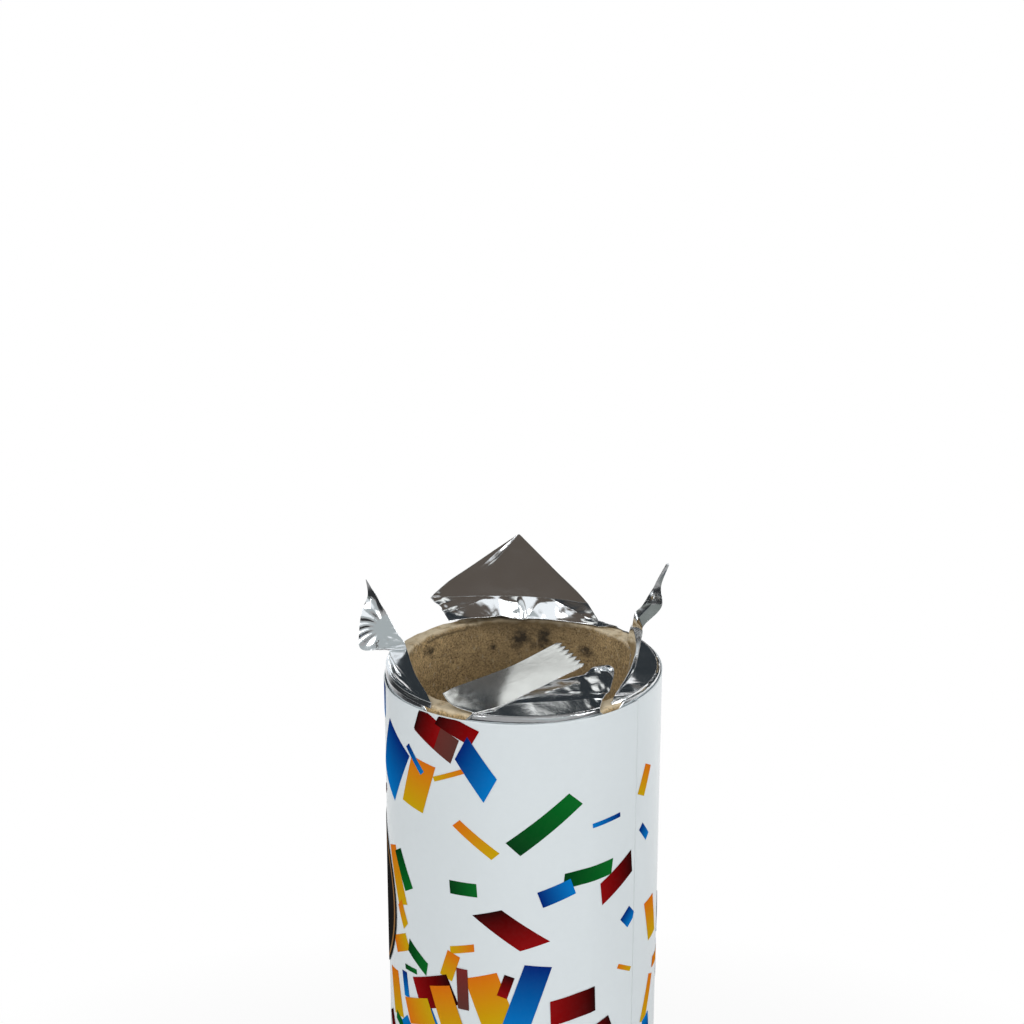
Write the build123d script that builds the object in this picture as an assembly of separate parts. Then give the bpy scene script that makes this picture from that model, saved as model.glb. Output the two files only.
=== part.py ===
from build123d import *
import math
import os

# Twist-fired confetti popper, shown after firing: a paper tube with a printed wrap stands on a
# twist grip, and its foil lid has torn into four petals. All lengths are in millimetres and all
# angles in degrees. The origin is the middle of the standing face, +Z runs up the bore, and -Y is
# the side with the petal that has folded inwards.

# Fits
GLUE_GAP = 0.04
RUNNING_GAP = 0.08
SEAT_GAP = 0.3
CUT_OVERRUN = 1.0

# Paper tube
TUBE_DIAMETER = 49.2
TUBE_WALL = 3.0
TUBE_LENGTH = 161.5

# Printed wrap round the tube, with a lapped seam
LABEL_THICKNESS = 0.22
LABEL_DROP = 0.6
LABEL_FOOT_MARGIN = 1.0
LABEL_LAP = 10.0
LABEL_SEAM_ANGLE = -35.0

# Foil lid: the glued collar, the tabs over the rim and the four torn petals
FOIL_THICKNESS = 0.14
COLLAR_DEPTH = 14.0
TAB_HALF_ANGLE = 36.0
PETAL_THICKNESS = 0.25
PETAL_FOLD_DEPTH = 0.4
PETAL_COLUMNS = 6

# Strip of foil tape with one toothed end
TAPE_THICKNESS = 0.25
TAPE_TOOTH_DEPTH = 0.9
TAPE_TOOTH_COUNT = 6
TAPE_ROWS = 5

# End cap and twist grip
CAP_THICKNESS = 2.0
CAP_EDGE_MARGIN = 0.5
CAP_SPIGOT_HEIGHT = 4.0
CAP_SPIGOT_WALL = 1.6
BASE_HEIGHT = 33.6
BASE_WALL = 2.6
BASE_WEB = 4.0
BASE_EDGE_ROUND = 0.8
BASE_GAP = 0.4
FLUTE_COUNT = 30
FLUTE_RADIUS = 1.1
FLUTE_MARGIN = 5.0

# Saw-tooth cam under the grip's web
CAM_HUB_ROOM = 3.6
CAM_THICKNESS = 2.8
CAM_ROOT_DEPTH = 3.0
CAM_TRAVEL = 8.0
CAM_RAMP_ANGLE = 150.0
CAM_TEETH = 2
CAM_STEPS = 10
CAM_CLEARANCE = 0.2

# Retaining ring that holds the grip on the hub
CLIP_THICKNESS = 1.0
CLIP_GROOVE_DEPTH = 1.0
CLIP_REACH = 2.2
CLIP_CLEARANCE = 0.15
CLIP_MOUTH_ANGLE = 60.0

# Breech plug, its hub and its gas passages
FLANGE_THICKNESS = 2.5
HUB_DIAMETER = 24.0
HUB_FLOOR_GAP = 3.0
STRIKER_BORE = 12.6
SLOT_END_ROOM = 0.6
SKIRT_HEIGHT = 8.0
SKIRT_WALL = 2.5
GUIDE_LENGTH = 2.2
CHAMBER_DIAMETER = 6.4
CHAMBER_HEIGHT = 4.0
SOCKET_DEPTH = 6.5
VENT_DIAMETER = 3.0
VENT_CIRCLE = 26.0
VENT_COUNT = 4
PORT_DIAMETER = 2.0

# Nails through the tube into the plug's skirt
NAIL_DIAMETER = 1.6
NAIL_HEAD_DIAMETER = 3.4
NAIL_HEAD_THICKNESS = 0.5
NAIL_COUNT = 4

# Striker with its follower pin, needle, seal ring and spring
STRIKER_TAIL = 4.0
STRIKER_HEAD = 9.0
STRIKER_HEADROOM = 1.2
FOLLOWER_DIAMETER = 3.0
FOLLOWER_END_MARGIN = 0.4
NEEDLE_DIAMETER = 1.8
NEEDLE_SEAT_DEPTH = 3.5
NEEDLE_POINT_LENGTH = 2.5
NEEDLE_OVERSHOOT = 3.0
O_RING_SECTION = 1.9
O_RING_DROP = 3.0
SPRING_WIRE = 1.0
SPRING_TURNS = 5
SPRING_SIDE_GAP = 0.5
SPRING_CAP_THICKNESS = 2.4
DRIVER_SLOT_WIDTH = 1.4
DRIVER_SLOT_DEPTH = 1.0

# Gas bottle and its pierced seal
BOTTLE_DIAMETER = 19.0
BOTTLE_WALL = 1.2
BOTTLE_BODY_LENGTH = 50.0
BOTTLE_END_ROUND = 4.0
NECK_DIAMETER = 9.2
NECK_WALL = 1.6
NECK_LENGTH = 9.0
SHOULDER_HEIGHT = 5.5
SEAL_THICKNESS = 0.4
SEAL_RECESS = 0.3
PIERCED_DIAMETER = 2.6

# Wad and the slips that stay on it
WAD_THICKNESS = 6.0
WAD_SIDE_GAP = 0.3
SLIP_LENGTH = 16.0
SLIP_WIDTH = 7.0
SLIP_THICKNESS = 0.2
SLIP_RING_RADIUS = 11.0
SLIP_SIDE_STEP = 3.0
SLIP_LAYERS = 3
SLIP_LAYER_TURN = 30.0
SLIP_COLOURS = ("red", "blue", "green", "yellow")

# Each petal in shares of the bore's radius, as (outwards, along the rim, up from the rim tab).
# Three lines run from the rim to the tip: one torn edge, the spine and the other torn edge.
PETAL_SHARES = {
    "foil_petal_rear": {
        "azimuth": 90.0,
        "edge_before": ((1.02, -0.40, 0.016), (1.05, -0.66, 0.05), (1.20, -0.48, 0.18),
                        (1.36, -0.31, 0.30), (1.51, -0.15, 0.42), (1.66, 0.01, 0.55)),
        "spine": ((1.02, 0.00, 0.016), (1.06, 0.01, 0.12), (1.20, 0.02, 0.24),
                  (1.36, 0.02, 0.345), (1.51, 0.03, 0.45), (1.66, 0.03, 0.55)),
        "edge_after": ((1.02, 0.44, 0.016), (1.14, 0.81, 0.14), (1.27, 0.65, 0.25),
                       (1.40, 0.44, 0.355), (1.53, 0.24, 0.455), (1.66, 0.05, 0.55)),
    },
    "foil_petal_left": {
        "azimuth": 180.0,
        "edge_before": ((1.00, -0.23, 0.016), (1.12, -0.24, 0.11), (1.26, -0.21, 0.17),
                        (1.29, -0.16, 0.32), (1.29, -0.09, 0.53), (1.30, -0.02, 0.74)),
        "spine": ((1.00, 0.00, 0.016), (1.14, 0.05, 0.11), (1.32, 0.05, 0.14),
                  (1.34, 0.05, 0.30), (1.33, 0.02, 0.53), (1.30, 0.00, 0.74)),
        "edge_after": ((1.00, 0.33, 0.016), (0.88, 0.50, 0.16), (0.99, 0.38, 0.31),
                       (1.09, 0.25, 0.45), (1.19, 0.13, 0.60), (1.30, 0.02, 0.74)),
    },
    "foil_petal_front": {
        "azimuth": 270.0,
        "edge_before": ((1.06, -0.45, 0.018), (0.90, -0.58, 0.03), (0.77, -0.27, 0.04),
                        (0.64, 0.04, 0.055), (0.51, 0.35, 0.07), (0.39, 0.64, 0.09)),
        "spine": ((1.06, 0.00, 0.018), (0.92, 0.14, 0.04), (0.77, 0.29, 0.05),
                  (0.64, 0.43, 0.065), (0.51, 0.56, 0.08), (0.38, 0.66, 0.09)),
        "edge_after": ((1.06, 0.45, 0.018), (0.84, 0.66, 0.03), (0.72, 0.69, 0.045),
                       (0.61, 0.70, 0.065), (0.49, 0.69, 0.08), (0.37, 0.68, 0.09)),
    },
    "foil_petal_right": {
        "azimuth": 0.0,
        "edge_before": ((0.935, -0.51, 0.016), (0.93, -0.42, 0.23), (0.95, -0.28, 0.44),
                        (1.13, -0.14, 0.58), (1.17, -0.07, 0.73), (1.22, -0.02, 0.90)),
        "spine": ((0.935, 0.00, 0.016), (0.935, 0.05, 0.19), (0.98, 0.05, 0.39),
                  (1.08, 0.02, 0.58), (1.15, 0.01, 0.74), (1.22, 0.00, 0.90)),
        "edge_after": ((0.935, 0.53, 0.016), (0.945, 0.49, 0.14), (1.00, 0.37, 0.32),
                       (1.065, 0.23, 0.51), (1.14, 0.11, 0.69), (1.22, 0.02, 0.90)),
    },
}

# Corners of the tape strip in the front petal's own directions, in the same shares: the near long
# edge from the rim inwards, then the far long edge.
TAPE_CORNER_SHARES = (
    ((1.05, -0.31, 0.045), (0.41, 0.49, 0.165)),
    ((0.86, -0.64, 0.100), (0.20, 0.27, 0.250)),
)

# Radii that follow from the sizes above
tube_radius = TUBE_DIAMETER / 2
bore_radius = tube_radius - TUBE_WALL
collar_inner = tube_radius + GLUE_GAP
collar_outer = collar_inner + FOIL_THICKNESS
label_inner = collar_outer + GLUE_GAP
label_outer = label_inner + LABEL_THICKNESS
base_inner = label_outer - BASE_WALL
hub_radius = HUB_DIAMETER / 2
striker_bore_radius = STRIKER_BORE / 2
striker_radius = striker_bore_radius - RUNNING_GAP
follower_radius = FOLLOWER_DIAMETER / 2
cam_inner = hub_radius + CAM_HUB_ROOM
cam_outer = cam_inner + CAM_THICKNESS
needle_radius = NEEDLE_DIAMETER / 2
neck_radius = NECK_DIAMETER / 2
neck_bore_radius = neck_radius - NECK_WALL
bottle_radius = BOTTLE_DIAMETER / 2
o_ring_radius = O_RING_SECTION / 2
o_ring_centre_radius = striker_bore_radius - RUNNING_GAP / 2 - o_ring_radius

# Heights that follow, from the floor upwards
cap_top = CAP_THICKNESS
base_top = cap_top + BASE_HEIGHT
flange_low = base_top + BASE_GAP
flange_top = flange_low + FLANGE_THICKNESS
rim = flange_top + TUBE_LENGTH
tab_top = rim + GLUE_GAP + FOIL_THICKNESS
web_low = base_top - BASE_WEB
clip_top = web_low - CLIP_CLEARANCE
clip_low = clip_top - CLIP_THICKNESS
cam_top = web_low - CAM_ROOT_DEPTH
cam_low = cam_top - CAM_TRAVEL
cam_slope = CAM_TRAVEL / (math.radians(CAM_RAMP_ANGLE) * cam_inner)
follower_height = cam_top - follower_radius * math.hypot(1, cam_slope) - CAM_CLEARANCE
hub_low = cap_top + HUB_FLOOR_GAP
spring_low = hub_low + SPRING_CAP_THICKNESS
striker_low = follower_height - STRIKER_TAIL
striker_top = follower_height + STRIKER_HEAD
striker_bore_top = striker_top + STRIKER_HEADROOM
chamber_low = striker_bore_top + GUIDE_LENGTH
chamber_top = chamber_low + CHAMBER_HEIGHT
plug_top = chamber_top + SOCKET_DEPTH
skirt_top = plug_top + SKIRT_HEIGHT
neck_top = chamber_top + NECK_LENGTH
shoulder_top = neck_top + SHOULDER_HEIGHT
bottle_top = shoulder_top + BOTTLE_BODY_LENGTH
seal_low = chamber_top + SEAL_RECESS
needle_tip = seal_low + SEAL_THICKNESS + NEEDLE_OVERSHOOT
wad_low = bottle_top + SEAT_GAP
wad_top = wad_low + WAD_THICKNESS


def disc(radius, low, high):
    """Round solid on the popper's axis between two heights."""
    return Pos(0, 0, low) * Cylinder(radius, high - low, align=(Align.CENTER, Align.CENTER, Align.MIN))


def hole(radius, low, high):
    """Cutting cylinder on the axis that runs past both heights."""
    return disc(radius, low - CUT_OVERRUN, high + CUT_OVERRUN)


def ring(outer, inner, low, high):
    """Flat-ended ring on the popper's axis."""
    return disc(outer, low, high) - hole(inner, low, high)


def wedge(radius, middle, half_angle, low, high):
    """Prism from the axis out past a radius, for keeping one sector of a ring."""
    reach = radius / math.cos(math.radians(half_angle))
    ends = [Vector(reach, 0).rotate(Axis.Z, middle + side * half_angle) for side in (-1, 1)]
    outline = make_face(Polyline((0, 0), ends[0], ends[1], close=True))
    return Pos(0, 0, low) * extrude(outline, high - low)


def sector(outer, inner, middle, half_angle, low, high):
    """Part of a ring between two angles."""
    return ring(outer, inner, low, high) & wedge(outer + CUT_OVERRUN, middle, half_angle, low, high)


def cross_rod(radius, start, end, angle, height):
    """Round bar that lies along a radius, between two distances from the axis."""
    bar = Cylinder(radius, end - start, align=(Align.CENTER, Align.CENTER, Align.MIN))
    return Rot(0, 0, angle) * Pos(start, 0, height) * Rot(0, 90, 0) * bar


def turned(points):
    """Solid of revolution from an outline of (radius, height) points."""
    outline = make_face(Polyline(*[(radius, 0, height) for radius, height in points], close=True))
    return revolve(outline, Axis.Z)


def foil_sheet(rows, thickness):
    """Closed solid of a folded sheet: rows of points joined by flat triangles on two skins.

    Each skin lies half a thickness from the points, along the mean normal there.
    """
    last_row = len(rows) - 1
    last_column = len(rows[0]) - 1

    def normal(i, j):
        up_rows = rows[min(i + 1, last_row)][j] - rows[max(i - 1, 0)][j]
        across = rows[i][min(j + 1, last_column)] - rows[i][max(j - 1, 0)]
        return across.cross(up_rows).normalized()

    skins = [
        [
            [point + normal(i, j) * (side * thickness / 2) for j, point in enumerate(row)]
            for i, row in enumerate(rows)
        ]
        for side in (1, -1)
    ]
    triangles = []
    for skin in skins:
        for i in range(last_row):
            for j in range(last_column):
                corner = skin[i][j]
                far = skin[i + 1][j + 1]
                triangles.append((corner, skin[i][j + 1], far))
                triangles.append((corner, far, skin[i + 1][j]))
    border = [(0, j) for j in range(last_column)]
    border += [(i, last_column) for i in range(last_row)]
    border += [(last_row, j) for j in range(last_column, 0, -1)]
    border += [(i, 0) for i in range(last_row, 0, -1)]
    for (i, j), (m, n) in zip(border, border[1:] + border[:1]):
        triangles.append((skins[0][i][j], skins[1][i][j], skins[1][m][n]))
        triangles.append((skins[0][i][j], skins[1][m][n], skins[0][m][n]))
    faces = [Face(Wire.make_polygon(points, close=True)) for points in triangles]
    return Solid(Shell(faces))


def petal_point(shares, azimuth):
    """Point of a petal from its shares of the bore radius, turned to the petal's side of the rim."""
    outwards, along, up = [share * bore_radius for share in shares]
    return Vector(outwards, along, tab_top + up).rotate(Axis.Z, azimuth)


def between(start, end, share):
    """Point a share of the way from start to end."""
    return tuple(a + (b - a) * share for a, b in zip(start, end))


def petal_rows(table):
    """Rows of points from the rim to the tip, each a parabola through the two torn edges and the spine."""
    rows = []
    for before, middle, after in zip(table["edge_before"], table["spine"], table["edge_after"]):
        row = []
        for j in range(PETAL_COLUMNS + 1):
            u = 2 * j / PETAL_COLUMNS - 1
            shares = [
                a * u * (u - 1) / 2 + m * (1 - u * u) + b * u * (u + 1) / 2
                for a, m, b in zip(before, middle, after)
            ]
            row.append(petal_point(shares, table["azimuth"]))
        rows.append(row)
    return rows


def crumpled(rows, depth):
    """Same rows with each inner point moved along the local normal, to alternate sides."""
    folded = [list(row) for row in rows]
    for i in range(1, len(rows) - 1):
        for j in range(1, len(rows[0]) - 1):
            across = rows[i][j + 1] - rows[i][j - 1]
            upwards = rows[i + 1][j] - rows[i - 1][j]
            side = (-1) ** (i + j)
            reach = min(depth, across.length / PETAL_COLUMNS)
            folded[i][j] = rows[i][j] + across.cross(upwards).normalized() * (side * reach)
    return folded


def foil_petal(table):
    """One torn quarter of the foil lid."""
    return foil_sheet(crumpled(petal_rows(table), PETAL_FOLD_DEPTH), PETAL_THICKNESS)


def tape_strip():
    """Strip of foil tape that is stuck over the front petal, cut with teeth at its free end."""
    azimuth = PETAL_SHARES["foil_petal_front"]["azimuth"]
    columns = 2 * TAPE_TOOTH_COUNT
    rows = []
    for i in range(TAPE_ROWS):
        near, far = [between(edge[0], edge[1], i / (TAPE_ROWS - 1)) for edge in TAPE_CORNER_SHARES]
        rows.append([petal_point(between(near, far, j / columns), azimuth) for j in range(columns + 1)])
    run = (rows[-1][0] - rows[-2][0]).normalized()
    rows[-1] = [point + run * (TAPE_TOOTH_DEPTH * (j % 2)) for j, point in enumerate(rows[-1])]
    return foil_sheet(rows, TAPE_THICKNESS)


def barrel_tube():
    """Paper tube with the nail holes near its foot."""
    tube = ring(tube_radius, bore_radius, flange_top, rim)
    return tube - nails(GLUE_GAP)


def label_wrap():
    """Printed wrap with one edge lapped over the other."""
    low = flange_top + LABEL_FOOT_MARGIN
    high = rim - LABEL_DROP
    lap_half_angle = math.degrees(LABEL_LAP / label_outer) / 2
    lap_outer = label_outer + LABEL_THICKNESS
    lap = sector(lap_outer, label_inner, LABEL_SEAM_ANGLE - lap_half_angle, lap_half_angle, low, high)
    return ring(label_outer, label_inner, low, high) + lap


def foil_collar():
    """Foil that stays glued round the tube's end, with a tab over the rim below each petal."""
    collar = ring(collar_outer, collar_inner, rim - COLLAR_DEPTH, rim)
    for table in PETAL_SHARES.values():
        middle = table["azimuth"]
        collar += sector(collar_outer, collar_inner, middle, TAB_HALF_ANGLE, rim, tab_top)
        collar += sector(collar_outer, bore_radius, middle, TAB_HALF_ANGLE, rim + GLUE_GAP, tab_top)
    return collar


def base_cap():
    """Flat end cap with a spigot that is glued inside the grip."""
    plate = disc(label_outer - CAP_EDGE_MARGIN, 0, cap_top)
    spigot_outer = base_inner - GLUE_GAP
    spigot = ring(spigot_outer, spigot_outer - CAP_SPIGOT_WALL, 0, cap_top + CAP_SPIGOT_HEIGHT)
    return plate + spigot


def cam_height(angle):
    """Height of the cam's lower edge at an angle behind the follower's resting place."""
    return cam_top - CAM_TRAVEL * max(0, -angle) / CAM_RAMP_ANGLE


def cam_cutter():
    """Space under one cam tooth: a long ramp and then the step where the follower snaps up."""
    step = CAM_RAMP_ANGLE / CAM_STEPS
    pitch = 360 / CAM_TEETH
    angles = [-CAM_RAMP_ANGLE + step * i for i in range(CAM_STEPS + 1)]
    angles += [(pitch - CAM_RAMP_ANGLE) / 2, pitch - CAM_RAMP_ANGLE]
    near = cam_inner - CUT_OVERRUN
    far = cam_outer + CUT_OVERRUN
    floor = cam_low - CUT_OVERRUN
    sections = []
    for angle in angles:
        top = cam_height(angle)
        corners = [(near, 0, floor), (far, 0, floor), (far, 0, top), (near, 0, top)]
        points = [Vector(*corner).rotate(Axis.Z, angle) for corner in corners]
        sections.append(Face(Wire.make_polygon(points, close=True)))
    return loft(sections, ruled=True)


def twist_base():
    """Fluted grip: an inverted cup that turns on the hub and carries the cam under its web."""
    shell = disc(label_outer, cap_top, base_top)
    shell = fillet(shell.edges().sort_by(Axis.Z)[-1], min(BASE_EDGE_ROUND, BASE_WALL / 2))
    shell -= disc(base_inner, cap_top - CUT_OVERRUN, web_low)
    cam = ring(cam_outer, cam_inner, cam_low, web_low)
    for tooth in range(CAM_TEETH):
        cam -= Rot(0, 0, 360 / CAM_TEETH * tooth) * cam_cutter()
    shell += cam
    shell -= hole(hub_radius + RUNNING_GAP, web_low, base_top)
    flute = disc(FLUTE_RADIUS, cap_top + FLUTE_MARGIN, base_top - FLUTE_MARGIN)
    flutes = [Rot(0, 0, 360 / FLUTE_COUNT * i) * Pos(label_outer, 0, 0) * flute for i in range(FLUTE_COUNT)]
    return shell - flutes


def retaining_ring():
    """Open steel ring in the hub's groove, just under the grip's web."""
    inner = hub_radius - CLIP_GROOVE_DEPTH + GLUE_GAP
    full = ring(hub_radius + CLIP_REACH, inner, clip_low, clip_top)
    return full - wedge(hub_radius + CLIP_REACH, 90, CLIP_MOUTH_ANGLE / 2, clip_low, clip_top)


def nails(room):
    """Nails with flush heads, or their holes when room is left round them."""
    height = (plug_top + skirt_top) / 2
    point = bore_radius - SKIRT_WALL
    flush = tube_radius - GLUE_GAP
    head_low = flush - NAIL_HEAD_THICKNESS
    nail = cross_rod(NAIL_DIAMETER / 2 + room, point - room, flush, 0, height)
    nail += cross_rod(NAIL_HEAD_DIAMETER / 2 + room, head_low - room, tube_radius + room, 0, height)
    if room == 0:
        nail -= cross_rod(NAIL_HEAD_DIAMETER, flush, flush + CUT_OVERRUN, 0, height)
    step = 360 / NAIL_COUNT
    return Compound([Rot(0, 0, step / 2 + step * i) * nail for i in range(NAIL_COUNT)])


def breech_plug():
    """Moulded plug: flange under the tube, glued skirt inside it, and the hub that the grip turns on."""
    plug_radius = bore_radius - GLUE_GAP
    plug = disc(tube_radius, flange_low, flange_top) + disc(plug_radius, flange_low, plug_top)
    plug += ring(plug_radius, plug_radius - SKIRT_WALL, flange_low, skirt_top)
    plug += disc(hub_radius, hub_low, flange_top)
    plug -= ring(hub_radius + CUT_OVERRUN, hub_radius - CLIP_GROOVE_DEPTH, clip_low - GLUE_GAP, clip_top + GLUE_GAP)
    plug -= disc(striker_bore_radius, hub_low - CUT_OVERRUN, striker_bore_top)
    plug -= hole(needle_radius + SEAT_GAP, striker_bore_top, chamber_low)
    plug -= disc(CHAMBER_DIAMETER / 2, chamber_low, chamber_top + CUT_OVERRUN)
    plug -= disc(neck_radius + GLUE_GAP, chamber_top, plug_top + CUT_OVERRUN)
    port_height = (chamber_low + chamber_top) / 2
    for i in range(VENT_COUNT):
        angle = 360 / VENT_COUNT * (i + 1 / 2)
        plug -= cross_rod(PORT_DIAMETER / 2, 0, VENT_CIRCLE / 2, angle, port_height)
        vent = disc(VENT_DIAMETER / 2, port_height - PORT_DIAMETER / 2, plug_top + CUT_OVERRUN)
        plug -= Rot(0, 0, angle) * Pos(VENT_CIRCLE / 2, 0, 0) * vent
    slot_width = FOLLOWER_DIAMETER + 2 * SEAT_GAP
    slot_low = follower_height - CAM_TRAVEL - follower_radius - SLOT_END_ROOM
    slot_top = follower_height + follower_radius + SLOT_END_ROOM
    slot = Box(HUB_DIAMETER + CUT_OVERRUN, slot_width, slot_top - slot_low)
    plug -= Pos(0, 0, (slot_low + slot_top) / 2) * slot
    return plug - nails(GLUE_GAP)


def spring_cap():
    """Screw-in cap that closes the hub and seats the spring, with a driver slot."""
    cap = disc(striker_bore_radius - GLUE_GAP, hub_low, spring_low)
    slot = Box(STRIKER_BORE, DRIVER_SLOT_WIDTH, DRIVER_SLOT_DEPTH, align=(Align.CENTER, Align.CENTER, Align.MIN))
    return cap - Pos(0, 0, hub_low) * slot


def striker():
    """Sliding striker body with its ring groove and the seats of its pin and needle."""
    body = disc(striker_radius, striker_low, striker_top)
    groove_height = striker_top - O_RING_DROP
    groove_half = o_ring_radius + GLUE_GAP
    groove_floor = o_ring_centre_radius - o_ring_radius - GLUE_GAP
    body -= ring(striker_radius + CUT_OVERRUN, groove_floor, groove_height - groove_half, groove_height + groove_half)
    body -= cross_rod(follower_radius + GLUE_GAP, -STRIKER_BORE, STRIKER_BORE, 0, follower_height)
    seat_low = striker_top - NEEDLE_SEAT_DEPTH - GLUE_GAP
    return body - disc(needle_radius + GLUE_GAP, seat_low, striker_top + CUT_OVERRUN)


def follower_pin():
    """Cross pin through the striker whose ends ride under the cam."""
    reach = cam_outer - FOLLOWER_END_MARGIN
    return cross_rod(follower_radius, -reach, reach, 0, follower_height)


def needle():
    """Piercing needle with a cone point, set in the striker's top."""
    foot = striker_top - NEEDLE_SEAT_DEPTH
    return turned([(0, foot), (needle_radius, foot), (needle_radius, needle_tip - NEEDLE_POINT_LENGTH), (0, needle_tip)])


def striker_o_ring():
    """Rubber ring that keeps the gas from blowing down past the striker."""
    return Pos(0, 0, striker_top - O_RING_DROP) * Torus(o_ring_centre_radius, o_ring_radius)


def coil_path(radius, low, high, turns):
    """Rising round path of pairs of tangent arcs, one pair for each quarter turn."""
    quarters = 4 * turns
    rise = (high - low) / quarters
    lead = rise / (radius * math.pi / 2)

    def at(i):
        angle = math.pi / 2 * i
        place = Vector(radius * math.cos(angle), radius * math.sin(angle), low + rise * i)
        return place, Vector(-math.sin(angle), math.cos(angle), lead).normalized()

    edges = []
    for i in range(quarters):
        start, heading = at(i)
        end, leaving = at(i + 1)
        chord = end - start
        both = heading + leaving
        square = both.dot(both) - 4
        reach = (chord.dot(both) - math.sqrt(chord.dot(both) ** 2 - square * chord.dot(chord))) / square
        joint = (start + heading * reach + end - leaving * reach) / 2
        edges.append(Edge.make_tangent_arc(start, heading, joint))
        edges.append(Edge.make_tangent_arc(end, leaving * -1, joint).reversed())
    return Wire(edges)


def striker_spring():
    """Round-wire spring that drives the striker up."""
    wire_radius = SPRING_WIRE / 2
    radius = striker_bore_radius - SPRING_SIDE_GAP - wire_radius
    low = spring_low + wire_radius + GLUE_GAP
    high = striker_low - wire_radius - GLUE_GAP
    path = coil_path(radius, low, high, SPRING_TURNS)
    samples = 24
    points = [path.position_at(i / (samples * SPRING_TURNS)) for i in range(samples * SPRING_TURNS + 1)]
    apart = [(a - b).length for i, a in enumerate(points) for b in points[i + samples // 2:]]
    print("striker_spring least gap to itself", round(min(apart) - SPRING_WIRE, 3))
    start = Plane(origin=path.position_at(0), z_dir=path.tangent_at(0))
    return sweep(start * Circle(wire_radius), path)


def gas_bottle():
    """Drawn steel bottle, neck down, with a hollow inside."""
    flat = bottle_radius - BOTTLE_END_ROUND
    inside = bottle_radius - BOTTLE_WALL
    outer = turned([(0, chamber_top), (neck_radius, chamber_top), (neck_radius, neck_top),
                    (bottle_radius, shoulder_top), (bottle_radius, bottle_top), (0, bottle_top)])
    outer = fillet(outer.edges().sort_by(Axis.Z)[-1], min(BOTTLE_END_ROUND, bottle_radius / 2))
    hollow_top = bottle_top - BOTTLE_WALL
    hollow = turned([(0, chamber_top - CUT_OVERRUN), (neck_bore_radius, chamber_top - CUT_OVERRUN),
                     (neck_bore_radius, neck_top + BOTTLE_WALL), (inside, shoulder_top + BOTTLE_WALL),
                     (inside, hollow_top - BOTTLE_END_ROUND), (min(flat, inside), hollow_top), (0, hollow_top)])
    return outer - hollow


def bottle_seal():
    """Thin metal seal in the bottle's mouth, with the hole that the needle has made."""
    seal = disc(neck_bore_radius - GLUE_GAP, seal_low, seal_low + SEAL_THICKNESS)
    return seal - hole(PIERCED_DIAMETER / 2, seal_low, seal_low + SEAL_THICKNESS)


def push_wad():
    """Felt wad that fills the bore above the bottle and pushes the confetti out."""
    return disc(bore_radius - WAD_SIDE_GAP, wad_low, wad_top)


def confetti(colour):
    """Slips of one colour that stay on the wad: in each layer four slips lie like a pinwheel."""
    slips = []
    slip = Box(SLIP_WIDTH, SLIP_LENGTH, SLIP_THICKNESS, align=(Align.CENTER, Align.CENTER, Align.MIN))
    count = len(SLIP_COLOURS)
    for layer in range(SLIP_LAYERS):
        place = (SLIP_COLOURS.index(colour) + layer) % count
        angle = 360 / count * place + SLIP_LAYER_TURN * layer
        height = wad_top + SLIP_THICKNESS * layer
        slips.append(Rot(0, 0, angle) * Pos(SLIP_RING_RADIUS, SLIP_SIDE_STEP, height) * slip)
    return Compound(slips)


def main():
    os.makedirs("parts", exist_ok=True)
    pieces = {
        "barrel_tube": barrel_tube(),
        "label_wrap": label_wrap(),
        "foil_collar": foil_collar(),
        "foil_tape_strip": tape_strip(),
        "base_cap": base_cap(),
        "twist_base": twist_base(),
        "retaining_ring": retaining_ring(),
        "breech_plug": breech_plug(),
        "plug_nails": nails(0),
        "spring_cap": spring_cap(),
        "striker": striker(),
        "follower_pin": follower_pin(),
        "piercing_needle": needle(),
        "striker_o_ring": striker_o_ring(),
        "striker_spring": striker_spring(),
        "gas_bottle": gas_bottle(),
        "bottle_seal": bottle_seal(),
        "push_wad": push_wad(),
    }
    for name, table in PETAL_SHARES.items():
        pieces[name] = foil_petal(table)
    for colour in SLIP_COLOURS:
        pieces["confetti_" + colour] = confetti(colour)
    for name, piece in pieces.items():
        export_step(piece, "parts/" + name + ".step")


main()
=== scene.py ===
import math

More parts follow.
